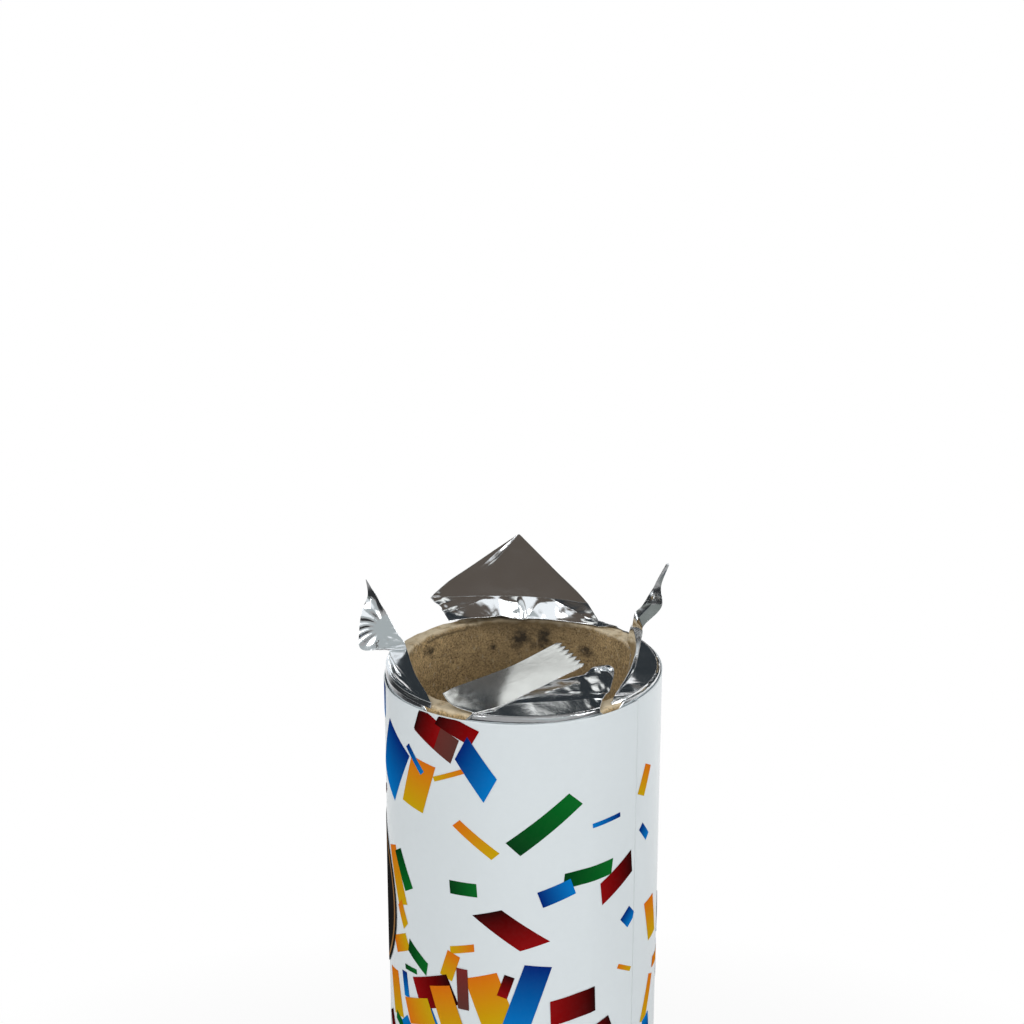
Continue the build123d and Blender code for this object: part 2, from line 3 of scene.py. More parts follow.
import bpy
import numpy as np
from bpy.props import FloatProperty, FloatVectorProperty, IntProperty, PointerProperty
from bpy.types import Operator, Panel, PropertyGroup
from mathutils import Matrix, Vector


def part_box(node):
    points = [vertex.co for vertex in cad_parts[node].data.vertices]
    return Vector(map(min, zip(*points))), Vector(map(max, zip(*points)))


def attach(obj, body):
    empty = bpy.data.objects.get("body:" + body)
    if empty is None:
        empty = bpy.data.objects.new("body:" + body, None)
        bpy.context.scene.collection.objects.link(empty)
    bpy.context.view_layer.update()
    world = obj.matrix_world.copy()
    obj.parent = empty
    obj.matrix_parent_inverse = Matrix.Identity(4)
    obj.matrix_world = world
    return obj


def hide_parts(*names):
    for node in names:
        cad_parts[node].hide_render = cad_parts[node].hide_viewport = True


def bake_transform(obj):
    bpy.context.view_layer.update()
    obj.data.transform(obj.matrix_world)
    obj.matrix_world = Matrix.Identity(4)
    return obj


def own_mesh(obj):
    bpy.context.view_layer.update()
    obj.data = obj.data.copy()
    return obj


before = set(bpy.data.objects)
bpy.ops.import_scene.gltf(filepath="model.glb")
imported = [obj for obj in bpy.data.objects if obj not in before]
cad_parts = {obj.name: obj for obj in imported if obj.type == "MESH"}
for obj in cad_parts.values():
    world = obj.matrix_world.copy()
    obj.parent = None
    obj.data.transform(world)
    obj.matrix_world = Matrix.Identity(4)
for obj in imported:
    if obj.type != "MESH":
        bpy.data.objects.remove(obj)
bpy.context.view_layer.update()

bl_info = {
    "name": "Confetti popper",
    "version": (1, 0, 0),
    "blender": (4, 5, 0),
    "location": "3D View > Sidebar > Popper",
    "description": "Dresses a fired confetti popper: paper tube, printed wrap, burst foil lid and twist grip",
    "category": "Object",
}

MM = 0.001

# Sizes that come from the frame
TUBE_LOW, TUBE_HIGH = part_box("barrel_tube")
WRAP_LOW, WRAP_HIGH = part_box("label_wrap")
COLLAR_LOW, COLLAR_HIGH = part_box("foil_collar")
WAD_LOW, WAD_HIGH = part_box("push_wad")
SPRING_LOW, SPRING_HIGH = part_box("striker_spring")
RIM = TUBE_HIGH.z
TUBE_RADIUS = TUBE_HIGH.x
WAD_GAP = 0.3 * MM
BORE_RADIUS = WAD_HIGH.x + WAD_GAP
WRAP_RADIUS = WRAP_HIGH.x
TAB_TOP = COLLAR_HIGH.z


class PopperTube(PropertyGroup):
    """Sizes and colours of the paper tube."""

    edge_round: FloatProperty(
        name="Edge round", description="Rounding of the cut rim",
        default=0.45 * MM, unit="LENGTH", precision=5)
    rim_wave: FloatProperty(
        name="Rim wave", description="Unevenness of the cut rim",
        default=0.10 * MM, unit="LENGTH", precision=5)
    torn_ply: FloatProperty(
        name="Torn ply", description="Depth where the inner ply is torn at the mouth", default=0.35 * MM,
        unit="LENGTH", precision=5)
    board_colour: FloatVectorProperty(
        name="Board", description="Grey-brown of the raw board",
        subtype="COLOR", default=(0.52, 0.372, 0.190))
    rim_colour: FloatVectorProperty(
        name="Cut rim", description="Pale tan of the cut edge", subtype="COLOR", default=(0.78, 0.67, 0.48))
    soot_colour: FloatVectorProperty(
        name="Soot", description="Stains that the shot left",
        subtype="COLOR", default=(0.030, 0.024, 0.018))


class PopperFoil(PropertyGroup):
    """Sizes and colours of the burst foil lid and its tape."""

    thickness: FloatProperty(
        name="Thickness", description="Thickness of the foil",
        default=0.05 * MM, unit="LENGTH", precision=5)
    crease_length: FloatProperty(
        name="Crease length", description="Usual distance between creases", default=3.2 * MM, unit="LENGTH")
    colour: FloatVectorProperty(
        name="Foil", description="Bare metal of the foil", subtype="COLOR", default=(0.90, 0.91, 0.92))
    tape_colour: FloatVectorProperty(
        name="Tape", description="Metal of the tape strip", subtype="COLOR", default=(0.93, 0.94, 0.93))
    tape_sag: FloatProperty(
        name="Tape sag", description="Depth of the crease across the tape", default=0.9 * MM, unit="LENGTH",
        precision=5)
    tooth_count: IntProperty(name="Teeth", description="Teeth at the tape's cut end", default=7, min=2)
    tooth_depth: FloatProperty(
        name="Tooth depth", description="Depth of a tooth", default=0.9 * MM, unit="LENGTH", precision=5)


class PopperWrap(PropertyGroup):
    """Sizes and colours of the printed wrap."""

    thickness: FloatProperty(
        name="Thickness", description="Thickness of the paper",
        default=0.2 * MM, unit="LENGTH", precision=5)
    lap: FloatProperty(name="Lap", description="Width of the glued lap", default=10 * MM, unit="LENGTH")
    seam_angle: FloatProperty(
        name="Seam", description="Where the lap's edge lies", default=math.radians(-38), subtype="ANGLE")
    print_lift: FloatProperty(
        name="Print lift", description="Height of the ink above the paper",
        default=0.03 * MM, unit="LENGTH", precision=6)
    spare_slips: IntProperty(
        name="Spare slips", description="Slips strewn over the sides and the back", default=150, min=0)
    paper_colour: FloatVectorProperty(
        name="Paper", description="Cool white of the paper", subtype="COLOR", default=(0.80, 0.86, 0.885))
    badge_colour: FloatVectorProperty(
        name="Badge", description="Round panel at the left", subtype="COLOR", default=(0.012, 0.011, 0.010))
    badge_ring_colour: FloatVectorProperty(
        name="Badge ring", description="Line inside the panel's edge",
        subtype="COLOR", default=(0.36, 0.19, 0.07))


class PopperGrip(PropertyGroup):
    """Sizes and colours of the twist grip and of the pieces inside."""

    spring_wire: FloatProperty(
        name="Spring wire", description="Thickness of the spring's wire",
        default=1.0 * MM, unit="LENGTH", precision=4)
    spring_turns: IntProperty(name="Spring turns", description="Turns of the spring", default=5, min=1)
    plastic_colour: FloatVectorProperty(
        name="Plastic", description="Black moulded grip", subtype="COLOR", default=(0.020, 0.020, 0.022))
    plug_colour: FloatVectorProperty(
        name="Plug", description="White moulded plug", subtype="COLOR", default=(0.70, 0.69, 0.66))
    felt_colour: FloatVectorProperty(
        name="Felt", description="Grey felt of the wad", subtype="COLOR", default=(0.30, 0.28, 0.25))


class PopperStage(PropertyGroup):
    """Camera, lamps and floor."""

    lens: FloatProperty(name="Lens", description="Focal length in millimetres", default=72.42)
    camera_place: FloatVectorProperty(
        name="Camera", description="Place of the camera", subtype="TRANSLATION",
        default=(-1.98 * MM, -343.72 * MM, 342.24 * MM))
    camera_tilt: FloatProperty(
        name="Tilt", description="Turn of the camera about X", default=math.radians(71.7), subtype="ANGLE")
    floor_radius: FloatProperty(name="Floor", description="Radius of the floor", default=8.0, unit="LENGTH")
    key_power: FloatProperty(name="Key", description="Power of the left softbox in watts", default=5.4)
    fill_power: FloatProperty(name="Fill", description="Power of the right softbox in watts", default=4.0)


SETTINGS = {
    "popper_tube": PopperTube,
    "popper_foil": PopperFoil,
    "popper_wrap": PopperWrap,
    "popper_grip": PopperGrip,
    "popper_stage": PopperStage,
}

# Each petal in shares of the bore's radius, as (outwards, along the rim, up from the rim). Places across
# the sheet run from -1 to 1, rows from -1 at the foot on the wall over 0 at the rim's edge and 1 at the fold.
# root: angles of the arc on the rim's outer edge, in degrees from the petal's middle.
# lip: height at the rim's edge; drop: depth of the foot; inset: the edge's distance from the wall; all in mm.
# rows: torn edge, spine and torn edge, from the fold at the rim's inner edge up to the tip.
# gathers: place across, then height and outward place of the first free row, and the same of the fold.
# sharp: rows with a crisp crease. leaves: the row where the foil leaves the rim.
# crumple: depth in mm on the rim, in the band above the fold, on the face, at the torn edges and at the end.
# cloth: the one of the three directions that runs across the crumple; the other two run along it.
# crushed: places across from none to full, first and last row, and depth in mm.
# star: outward place and height of the point where pleats meet, their number in a turn and depth in mm.
# ridges: row at both ends, height in mm, and places across where it starts and ends.
# hem: place across of a folded line, the row where it starts, its height in mm and half its width.
# The plain petal gives what a petal doesn't say itself.
PLAIN_PETAL = {
    "lip": 0.14, "drop": 0.85, "inset": 0.0,
    "gathers": (), "leaves": 1, "cloth": 1,
    "star": (0.0, 0.0, 0, 0.0), "ridges": (), "hem": (0.0, 0.0, 0.0, 1.0),
}
PETALS = {
    "rear": {
        "azimuth": 90.0, "root": (-46.0, 30.0), "sharp": (1, 2, 3), "seed": 13,
        "rows": (
            ((0.77, -0.66, 0.012), (1.01, 0.00, 0.012), (0.78, 0.64, 0.012)),
            ((0.99, -0.66, 0.02), (1.02, 0.01, 0.15), (1.02, 0.70, 0.10)),
            ((1.09, -0.58, 0.10), (1.10, 0.01, 0.165), (1.12, 0.81, 0.145)),
            ((1.20, -0.48, 0.18), (1.20, 0.02, 0.240), (1.26, 0.66, 0.245)),
            ((1.36, -0.31, 0.30), (1.36, 0.02, 0.345), (1.40, 0.44, 0.355)),
            ((1.51, -0.15, 0.42), (1.51, 0.03, 0.445), (1.53, 0.24, 0.455)),
            ((1.66, 0.022, 0.552), (1.66, 0.03, 0.552), (1.66, 0.038, 0.552)),
        ),
        "gathers": (
            (-1.0, 0.03, 0.88, 0.012, 0.77), (-0.86, 0.035, 0.915, 0.012, 0.83),
            (-0.45, 0.136, 1.058, 0.0, 0.955), (-0.23, 0.129, 1.048, 0.0, 0.985),
            (-0.06, 0.005, 0.99, 0.0, 0.985), (0.03, 0.136, 1.01, 0.01, 0.945),
            (0.30, 0.142, 1.085, 0.02, 1.01), (0.49, 0.1485, 1.076, 0.028, 0.95),
            (0.75, 0.10, 1.0, 0.045, 0.885), (0.90, 0.073, 0.969, 0.054, 0.82),
            (1.0, 0.09, 0.96, 0.06, 0.78),
        ),
        "crumple": (0.03, 0.035, 0.002, 0.003, 0.0),
        "crushed": ((0.76, 0.95, 1.7, 3.3, 0.40), (0.35, 0.9, 1.9, 3.6, 0.04)),
        "hem": (0.72, 4.5, 0.26, 0.10),
    },
    "left": {
        "azimuth": 180.0, "root": (-12.0, 50.0), "sharp": (0, 3), "seed": 23,
        "leaves": 3, "cloth": 0,
        "rows": (
            ((1.120, -0.235, 0.010), (1.030, 0.160, 0.010), (0.785, 0.655, 0.010)),
            ((1.135, -0.232, 0.011), (1.035, 0.000, 0.011), (0.890, 0.270, 0.011)),
            ((1.154, -0.230, 0.012), (1.070, -0.250, 0.012), (0.985, -0.270, 0.014)),
            ((1.365, -0.225, 0.022), (1.250, -0.240, 0.045), (1.000, -0.266, 0.065)),
            ((1.380, -0.272, 0.177), (1.240, -0.276, 0.172), (1.064, -0.290, 0.148)),
            ((1.355, -0.320, 0.343), (1.250, -0.314, 0.316), (1.136, -0.320, 0.280)),
            ((1.312, -0.385, 0.443), (1.275, -0.358, 0.452), (1.235, -0.331, 0.464)),
            ((1.323, -0.380, 0.590), (1.321, -0.378, 0.590), (1.319, -0.376, 0.590)),
        ),
        "crumple": (0.004, 0.05, 0.025, 0.01, 0.0),
        "crushed": ((0.82, 1.0, -0.6, 0.9, 0.12),),
        "star": (1.19, 0.18, 13, 0.13),
        "ridges": ((0.60, 0.05, 0.28, -0.9, 0.8), (0.74, 0.80, 0.20, -0.9, 0.5)),
    },
    "right": {
        "azimuth": 0.0, "root": (-51.0, 34.0), "sharp": (0, 1), "seed": 37,
        "drop": 1.5, "inset": 0.6,
        "rows": (
            ((0.74, -0.69, 0.010), (0.885, -0.08, 0.010), (0.89, 0.44, 0.012)),
            ((0.90, -0.36, 0.060), (0.935, 0.00, 0.150), (0.92, 0.40, 0.170)),
            ((0.985, -0.05, 0.260), (0.965, 0.12, 0.250), (0.925, 0.30, 0.210)),
            ((1.00, -0.02, 0.330), (0.97, 0.06, 0.350), (0.935, 0.14, 0.380)),
            ((1.138, -0.06, 0.510), (1.08, 0.03, 0.500), (0.99, 0.10, 0.460)),
            ((1.135, -0.02, 0.680), (1.10, 0.03, 0.650), (1.06, 0.07, 0.600)),
            ((1.199, -0.01, 0.862), (1.197, 0.00, 0.862), (1.195, 0.01, 0.862)),
        ),
        "crumple": (0.008, 0.006, 0.006, 0.006, 0.0),
        "crushed": ((-0.30, -0.60, -0.8, 0.9, 0.55),),
        "hem": (0.0, 3.2, -0.5, 1.0),
    },
    "front": {
        "azimuth": 270.0, "root": (-21.0, 32.0), "sharp": (0, 1, 2), "seed": 41,
        "lip": 0.16, "leaves": 2,
        "rows": (
            ((0.92, -0.50, -0.008), (0.93, 0.06, -0.010), (0.84, 0.63, -0.004)),
            ((0.84, -0.55, 0.000), (0.85, 0.10, 0.000), (0.77, 0.66, 0.002)),
            ((0.77, -0.27, 0.028), (0.74, 0.29, 0.048), (0.70, 0.69, 0.034)),
            ((0.64, 0.04, 0.052), (0.63, 0.43, 0.068), (0.60, 0.71, 0.050)),
            ((0.52, 0.35, 0.066), (0.51, 0.55, 0.084), (0.48, 0.73, 0.060)),
            ((0.42, 0.52, 0.072), (0.40, 0.63, 0.092), (0.38, 0.74, 0.066)),
            ((0.37, 0.56, 0.094), (0.35, 0.65, 0.115), (0.34, 0.73, 0.090)),
            ((0.42, 0.58, 0.115), (0.40, 0.66, 0.130), (0.39, 0.73, 0.105)),
        ),
        "gathers": (
            (-1.0, 0.000, 0.84, -0.020, 0.92), (-0.5, -0.005, 0.85, -0.004, 0.98),
            (-0.25, 0.032, 0.84, 0.034, 0.95), (0.0, 0.046, 0.83, 0.046, 0.955),
            (0.5, 0.044, 0.80, 0.043, 0.915), (0.85, 0.041, 0.76, 0.040, 0.86),
            (1.0, 0.026, 0.74, 0.018, 0.82),
        ),
        "crumple": (0.004, 0.02, 0.02, 0.02, 0.08),
        "crushed": ((0.72, 0.90, 0.0, 2.2, 0.26), (-2.0, -1.9, 2.6, 9.0, 0.24)),
    },
}
NET_COLUMNS = 49
# Distance of the petals' feet from the tube's wall
LIP_GAP = 0.14 * MM
# Share of the way to the next line of the net that a crisp crease takes up
CREASE = 0.12
# Rows over which a ridge rises and falls
RIDGE_RISE, RIDGE_FALL = 0.06, 0.30

# Corners of the tape strip in the front petal's own directions: near long edge, then far long edge.
TAPE_CORNERS = (
    ((1.077, -0.385, 0.010), (0.506, 0.476, 0.165)),
    ((0.860, -0.640, 0.100), (0.203, 0.272, 0.250)),
)
# Share of the tape's length where its crease starts at the near edge and ends at the far edge
TAPE_CREASE = (0.19, 0.60)
# How softly the tape bends at its crease, 0 being a sharp fold
TAPE_BEND = 0.45

# Slip colours from the dark end to the bright end
SLIP_COLOURS = {
    "red": ((0.018, 0.0, 0.0), (0.27, 0.002, 0.003)),
    "brown": ((0.19, 0.024, 0.022), (0.11, 0.038, 0.030)),
    "blue": ((0.0, 0.018, 0.18), (0.0, 0.19, 0.58)),
    "green": ((0.0, 0.045, 0.007), (0.002, 0.14, 0.018)),
    "yellow": ((0.72, 0.17, 0.006), (0.60, 0.38, 0.003)),
}

# Printed slips on the front, in millimetres: place to the right of the front, drop below the rim,
# length, width, then tilt and skew in degrees, and the colour.
PRINT_SLIPS = (
    (-16.4, 5.4, 9.2, 5.0, 26, -6, "brown"),
    (-18.2, 4.2, 5.4, 5.2, 26, -6, "red"),
    (-12.0, 2.9, 7.6, 3.3, 20, 8, "red"),
    (-29.9, 14.8, 12.6, 9.0, 118, 0, "blue"),
    (-20.9, 16.0, 10.3, 6.0, 108, -14, "yellow"),
    (-21.5, 11.4, 5.7, 1.2, 45, 0, "blue"),
    (-13.6, 12.1, 7.0, 0.9, 154, 0, "yellow"),
    (-8.4, 10.0, 9.0, 5.2, 54, -27, "blue"),
    (-8.5, 23.4, 9.0, 2.0, 36, 10, "yellow"),
    (3.7, 20.0, 14.2, 3.5, -39, -8, "green"),
    (15.4, 21.1, 6.0, 0.9, 175, 0, "blue"),
    (-10.9, 33.3, 5.3, 2.6, -4, 0, "green"),
    (11.9, 30.7, 9.6, 3.0, -5, 12, "green"),
    (5.9, 33.3, 6.3, 3.2, -19, 0, "blue"),
    (18.0, 33.1, 8.4, 4.4, 150, 24, "red"),
    (-2.2, 40.3, 10.6, 5.6, 36, 36, "red"),
    (21.0, 42.0, 3.0, 3.0, 50, 0, "blue"),
    (20.2, 52.0, 4.0, 0.9, 30, 0, "yellow"),
    (-36.9, 4.8, 6.4, 5.4, 96, 12, "blue"),
    (-28.4, 37.0, 11.0, 3.6, 66, 0, "yellow"),
    (-25.9, 34.8, 7.5, 3.0, 57, 0, "green"),
    (-26.3, 44.0, 4.5, 2.4, 60, -20, "yellow"),
    (-27.2, 50.3, 6.0, 3.2, -30, 0, "yellow"),
    (-21.6, 50.6, 6.0, 2.7, 29, -18, "green"),
    (-23.7, 54.0, 3.8, 1.0, -8, 0, "green"),
    (-11.2, 45.3, 5.0, 1.5, 162, 14, "yellow"),
    (-13.7, 49.3, 5.6, 2.7, 108, 0, "yellow"),
    (-17.5, 56.0, 9.5, 6.0, 155, 0, "red"),
    (-11.1, 53.3, 8.2, 2.2, 88, 0, "brown"),
    (-14.4, 58.6, 9.5, 4.8, 70, 0, "yellow"),
    (-21.4, 61.6, 7.5, 5.0, -23, 0, "yellow"),
    (-30.0, 62.0, 9.0, 4.6, 75, 0, "yellow"),
    (-25.6, 58.0, 5.0, 1.8, 80, 0, "blue"),
    (-18.6, 60.0, 6.0, 1.6, 62, 0, "blue"),
    (-6.0, 54.6, 10.0, 6.4, 70, 0, "yellow"),
    (-3.1, 51.5, 4.5, 1.9, 108, 0, "red"),
    (0.5, 54.0, 14.0, 4.9, 108, -10, "blue"),
    (9.1, 56.4, 8.6, 5.0, 170, 8, "red"),
    (13.6, 63.0, 7.0, 3.6, 160, 0, "red"),
    (25.8, 17.0, 5.6, 2.6, 118, 0, "yellow"),
    (26.0, 27.2, 4.0, 1.6, 50, 0, "blue"),
    (30.0, 46.4, 9.0, 4.4, 75, 14, "yellow"),
    (28.8, 62.6, 9.0, 2.4, 115, 0, "yellow"),
)

# Stretches of the rim without foil, in degrees round the axis, and half the angle of their soft ends
BARE_RIM = ((226, 247), (303, 312), (118, 165))
BARE_SOFT = 0.05

# The skirt's distance from the middle of the paper, and its bend over the rim's edge
SKIRT_GAP = 0.12 * MM
SKIRT_ROLL = 0.25 * MM

# Where the bore's inner ply is torn, in degrees round the axis: starts, is 1 mm deep, fades and ends
TORN_STRETCH = (116, 121, 150, 153)
# A notch in the tear: degrees round the axis, its reach in degrees and its depth in millimetres
TORN_NOTCH = (147.5, 1.6, 2.4)
# How far into the wall the tear's step fades
TORN_WALL = 0.8 * MM

# Stains on the bore's wall: degrees round the axis, drop below the rim and size in millimetres
SOOT_SPOTS = ((89, 3.8, 4.4), (78.5, 3.5, 3.2), (56, 4.9, 2.3), (143, 3.3, 2.2), (104, 5.5, 1.4))
# Middle of the painted shadow that the rear petal casts on the wall, and of the soot and painted shade on the
# rim under its fold
PETAL_SHADOW_MIDDLE = (2 * MM, BORE_RADIUS, RIM - 4 * MM)
SOOT_AND_SHADE_MIDDLE = (0.5 * MM, 23 * MM, RIM)

# How far down the bore its rows of points are close together
MOUTH_DEPTH = 9 * MM
CORNER_POINTS = 6

# The wrap's top edge above the solid's, and its dips on the left and in front
WRAP_RAISE = 0.25 * MM
WRAP_DIP = 1.7 * MM
FRONT_DIP = 0.6 * MM
# Length over which the wrap climbs onto the lap
LAP_RAMP = 3 * MM

# Bare paper at the wrap's edges, and roughness of its gloss
PRINT_MARGIN = 0.15 * MM
PRINT_GLOSS = 0.24
# The slips are laid in this many turns, each with every such slip of the table
PRINT_TURNS = 31
# What a slip that lies on another is raised by, and the badge, in print lifts
LAYER_STEP = 0.55
BADGE_LIFT = 4.6
# Place of the badge in millimetres, to the right of the front and below the rim
BADGE_PLACE = (-46.0, 45.0)
BADGE_RADIUS = 17.0 * MM
# Place and half width of the badge's line, in shares of its radius
BADGE_LINE = (0.94, 0.018)

# Spare slips, in millimetres: first drop and run below the rim, and the part in front that has its own slips
SPARE_DROP, SPARE_RUN = 10, 148
SHOWN_DROP, SHOWN_ARC = 64, 36.0
SPARE_LENGTH = (3.5, 12.0)
SPARE_WIDEST = 6.0
# Width in shares of the length, and greatest skew in degrees
SPARE_WIDTH = (0.18, 0.75)
SPARE_SKEW = 22
# Colours of the spare slips, and of those left on the wad
SPARE_COLOURS = ("red", "blue", "green", "yellow")

# Where the petals' feet bend: heights above the tabs, and for the front petal places along Y
PETAL_BEND = (0.3 * MM, 3.4 * MM)
FRONT_BEND = (-23.6 * MM, -22.0 * MM)

# How far the crinkles of the foil wander
CRINKLE_BEND = 1.2 * MM
LOOSE_THICKNESS = 0.1 * MM
SENSOR_WIDTH = 36.0
WHITE = (1.0, 1.0, 1.0)


# Meshes


def grid_faces(rows, columns, closed=False):
    """Quads of a grid of points, as corner numbers; closed joins the last column to the first."""
    across = columns if closed else columns - 1
    row, column = np.meshgrid(np.arange(rows - 1), np.arange(across), indexing="ij")
    beside = (column + 1) % columns
    corners = [row * columns + column, row * columns + beside]
    corners += [(row + 1) * columns + beside, (row + 1) * columns + column]
    return np.stack(corners, -1).reshape(-1, 4)


def new_piece(name, points, material, closed=False, ends=(), uv=None, colours=None):
    """Object at the origin whose mesh holds grids of points, with a UV map or point colours if given.

    Points come as rows and columns, or as several such grids. Closed joins the last column to the first, and
    ends names the rings that a face closes: 0 the first, 1 the last.
    """
    *copies, rows, columns, _ = points.shape
    start = np.arange(math.prod(copies))[:, None, None] * rows * columns
    faces = (grid_faces(rows, columns, closed) + start).reshape(-1, 4)
    ring = np.arange(columns)
    caps = [(ring + (rows - 1) * columns if end else ring[::-1]).tolist() for end in ends]
    mesh = bpy.data.meshes.new(name)
    mesh.from_pydata(points.reshape(-1, 3).tolist(), [], [*faces.tolist(), *caps])
    if uv is not None:
        layer = mesh.uv_layers.new(name="UVMap")
        layer.data.foreach_set("uv", uv.reshape(-1, 2)[faces.ravel()].astype(np.float32).ravel())
    if colours is not None:
        attribute = mesh.attributes.new("tint", "FLOAT_COLOR", "POINT")
        attribute.data.foreach_set("color", colours.astype(np.float32).ravel())
    mesh.polygons.foreach_set("use_smooth", np.ones(len(mesh.polygons), bool))
    mesh.materials.append(material)
    mesh.update()
    piece = bpy.data.objects.new(name, mesh)
    bpy.context.scene.collection.objects.link(piece)
    return piece


def thicken(piece, thickness, offset=0.0):
    """Gives a sheet its thickness; offset -1 keeps the drawn side outside, 0 keeps it in the middle."""
    wall = piece.modifiers.new("thickness", "SOLIDIFY")
    wall.thickness = thickness
    wall.offset = offset


def place(piece, body, slot, *nodes):
    """The piece rides on a body and stands for the nodes, which it hides. The slot is not used."""
    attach(piece, body)
    if nodes:
        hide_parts(*nodes)


def polar(radius, angle, height):
    """Points at a distance and angle round the popper's axis."""
    return np.stack(np.broadcast_arrays(radius * np.cos(angle), radius * np.sin(angle), height), -1)


def round_angles(count):
    """One row of angles, evenly round the axis."""
    return np.linspace(0, math.tau, count, endpoint=False)[None, :]


def quarter_turn(middle, bend, start):
    """Rounded corner of a profile: a quarter circle about its middle, from a number of right angles on."""
    turn = math.pi / 2 * (start + np.linspace(0, 1, CORNER_POINTS))
    return np.array(middle) + bend * np.stack([np.cos(turn), np.sin(turn)], -1)


def smoothstep(low, high, value):
    """0 below low, 1 above high, and an even S-curve between."""
    share = np.clip((value - low) / (high - low), 0, 1)
    return share * share * (3 - 2 * share)


def span(value, start, full, fades, end):
    """Rises from 0 at start to 1 at full, and falls from fades to 0 at end, in S-curves."""
    return smoothstep(start, full, value) * (1 - smoothstep(fades, end, value))


def triangle(value):
    """Triangle wave of period 1 between -1 and 1."""
    return 4 * np.abs(value - np.floor(value + 0.5)) - 1


def waves(u, v, rng, length):
    """Slow unevenness between about -1 and 1: three cosines of random heading, about one length long."""
    total = np.zeros_like(u)
    for _ in range(3):
        heading = rng.uniform(0, math.tau)
        size = length * rng.uniform(0.7, 1.5)
        total += np.cos(math.tau * ((u * math.cos(heading) + v * math.sin(heading)) / size + rng.uniform()))
    return total / 2


def crumple(u, v, seed, length, folds=6):
    """Height of crumpled foil: a sum of triangle waves of random heading, bent and faded by slow waves."""
    rng = np.random.default_rng(seed)
    total = np.zeros_like(u)
    for fold in range(folds):
        heading = rng.uniform(0, math.tau)
        size = length * (1.7 * 0.74 ** fold)
        bend = 0.30 * waves(u, v, rng, 3 * size)
        across = (u * math.cos(heading) + v * math.sin(heading)) / size + bend + rng.uniform()
        fade = smoothstep(-0.7, 0.5, waves(u, v, rng, 3.5 * size))
        total += size / length * fade * triangle(across)
    return total / 2


def spline_shares(count, samples):
    """Row i holds each point's share at sample i of a Catmull-Rom curve through count points."""
    at = np.linspace(0, count - 1, samples)
    cell = np.minimum(at.astype(int), count - 2)
    t = at - cell
    parts = (
        (-t + 2 * t ** 2 - t ** 3) / 2,
        (2 - 5 * t ** 2 + 3 * t ** 3) / 2,
        (t + 4 * t ** 2 - 3 * t ** 3) / 2,
        (-t ** 2 + t ** 3) / 2,
    )
    shares = np.zeros((samples, count))
    for offset, part in zip((-1, 0, 1, 2), parts):
        np.add.at(shares, (np.arange(samples), np.clip(cell + offset, 0, count - 1)), part)
    return shares


def net_surface(net, rows, columns):
    """Smooth sheet through a coarse net of points, with Catmull-Rom curves in both directions."""
    down = spline_shares(net.shape[0], rows)
    across = spline_shares(net.shape[1], columns)
    return np.einsum("ik,jl,klx->ijx", down, across, net)


def sheet_lengths(points):
    """Distance along each row from its middle, and along the middle column from the first row."""
    across = np.linalg.norm(np.diff(points, axis=1), axis=-1)
    u = np.pad(np.cumsum(across, axis=1), ((0, 0), (1, 0)))
    u -= u[:, u.shape[1] // 2, None]
    middle = points[:, points.shape[1] // 2]
    v = np.pad(np.cumsum(np.linalg.norm(np.diff(middle, axis=0), axis=-1)), (1, 0))
    return u, np.broadcast_to(v[:, None], u.shape)


def sheet_normals(points):
    """Unit normals of a grid of points, from the steps along its rows and columns."""
    normals = np.cross(np.gradient(points, axis=1), np.gradient(points, axis=0))
    return normals / np.maximum(np.linalg.norm(normals, axis=-1, keepdims=True), 1e-12)


# Shader nodes


def fill(tree, socket, value):
    """Feeds a socket with a link from another socket, or with a colour, a vector or a number."""
    if isinstance(value, bpy.types.NodeSocket):
        tree.links.new(value, socket)
    elif socket.type == "RGBA":
        socket.default_value = (*value, 1.0)
    else:
        socket.default_value = value


def node(tree, kind, inputs=None, **settings):
    """Adds a node, sets its properties, and feeds its inputs."""
    made = tree.nodes.new(kind)
    for key, value in settings.items():
        setattr(made, key, value)
    for key, value in (inputs or {}).items():
        fill(tree, made.inputs[key], value)
    return made


def math_node(tree, operation, result, *others):
    """Result of one operation on several values, taken from the left."""
    for value in others:
        result = node(tree, "ShaderNodeMath", {0: result, 1: value}, operation=operation).outputs[0]
    return result


def times(tree, *values):
    """Product of values."""
    return math_node(tree, "MULTIPLY", *values)


def plus(tree, *values):
    """Sum of values."""
    return math_node(tree, "ADD", *values)


def average(tree, first, second):
    """Value halfway between two."""
    return plus(tree, times(tree, first, 0.5), times(tree, second, 0.5))


def mapped(tree, value, low, high, to_low=0.0, to_high=1.0):
    """Value moved from one range to another and held there."""
    inputs = {"Value": value, "From Min": low, "From Max": high, "To Min": to_low, "To Max": to_high}
    return node(tree, "ShaderNodeMapRange", inputs).outputs[0]


def window(tree, *ranges):
    """Product of several values, each moved from its range to 0 to 1."""
    return times(tree, *[mapped(tree, *each) for each in ranges])


def mixed(tree, share, first, second):
    """Colour between two colours."""
    return node(tree, "ShaderNodeMix", {0: share, 6: first, 7: second}, data_type="RGBA").outputs[2]


def ray_kinds(tree):
    """1 for rays from the camera, and 1 for rays off metal or through glass."""
    path = node(tree, "ShaderNodeLightPath").outputs
    shiny = math_node(tree, "MAXIMUM", path["Is Glossy Ray"], path["Is Transmission Ray"])
    return path["Is Camera Ray"], shiny


def shade(colour, factor):
    """Colour times a factor, at most white."""
    return tuple(min(1.0, factor * x) for x in colour)


def noise(tree, vector, scale, detail=3.0, roughness=0.55):
    """Noise value on a vector."""
    inputs = {"Vector": vector, "Scale": scale, "Detail": detail, "Roughness": roughness}
    return node(tree, "ShaderNodeTexNoise", inputs).outputs["Fac"]


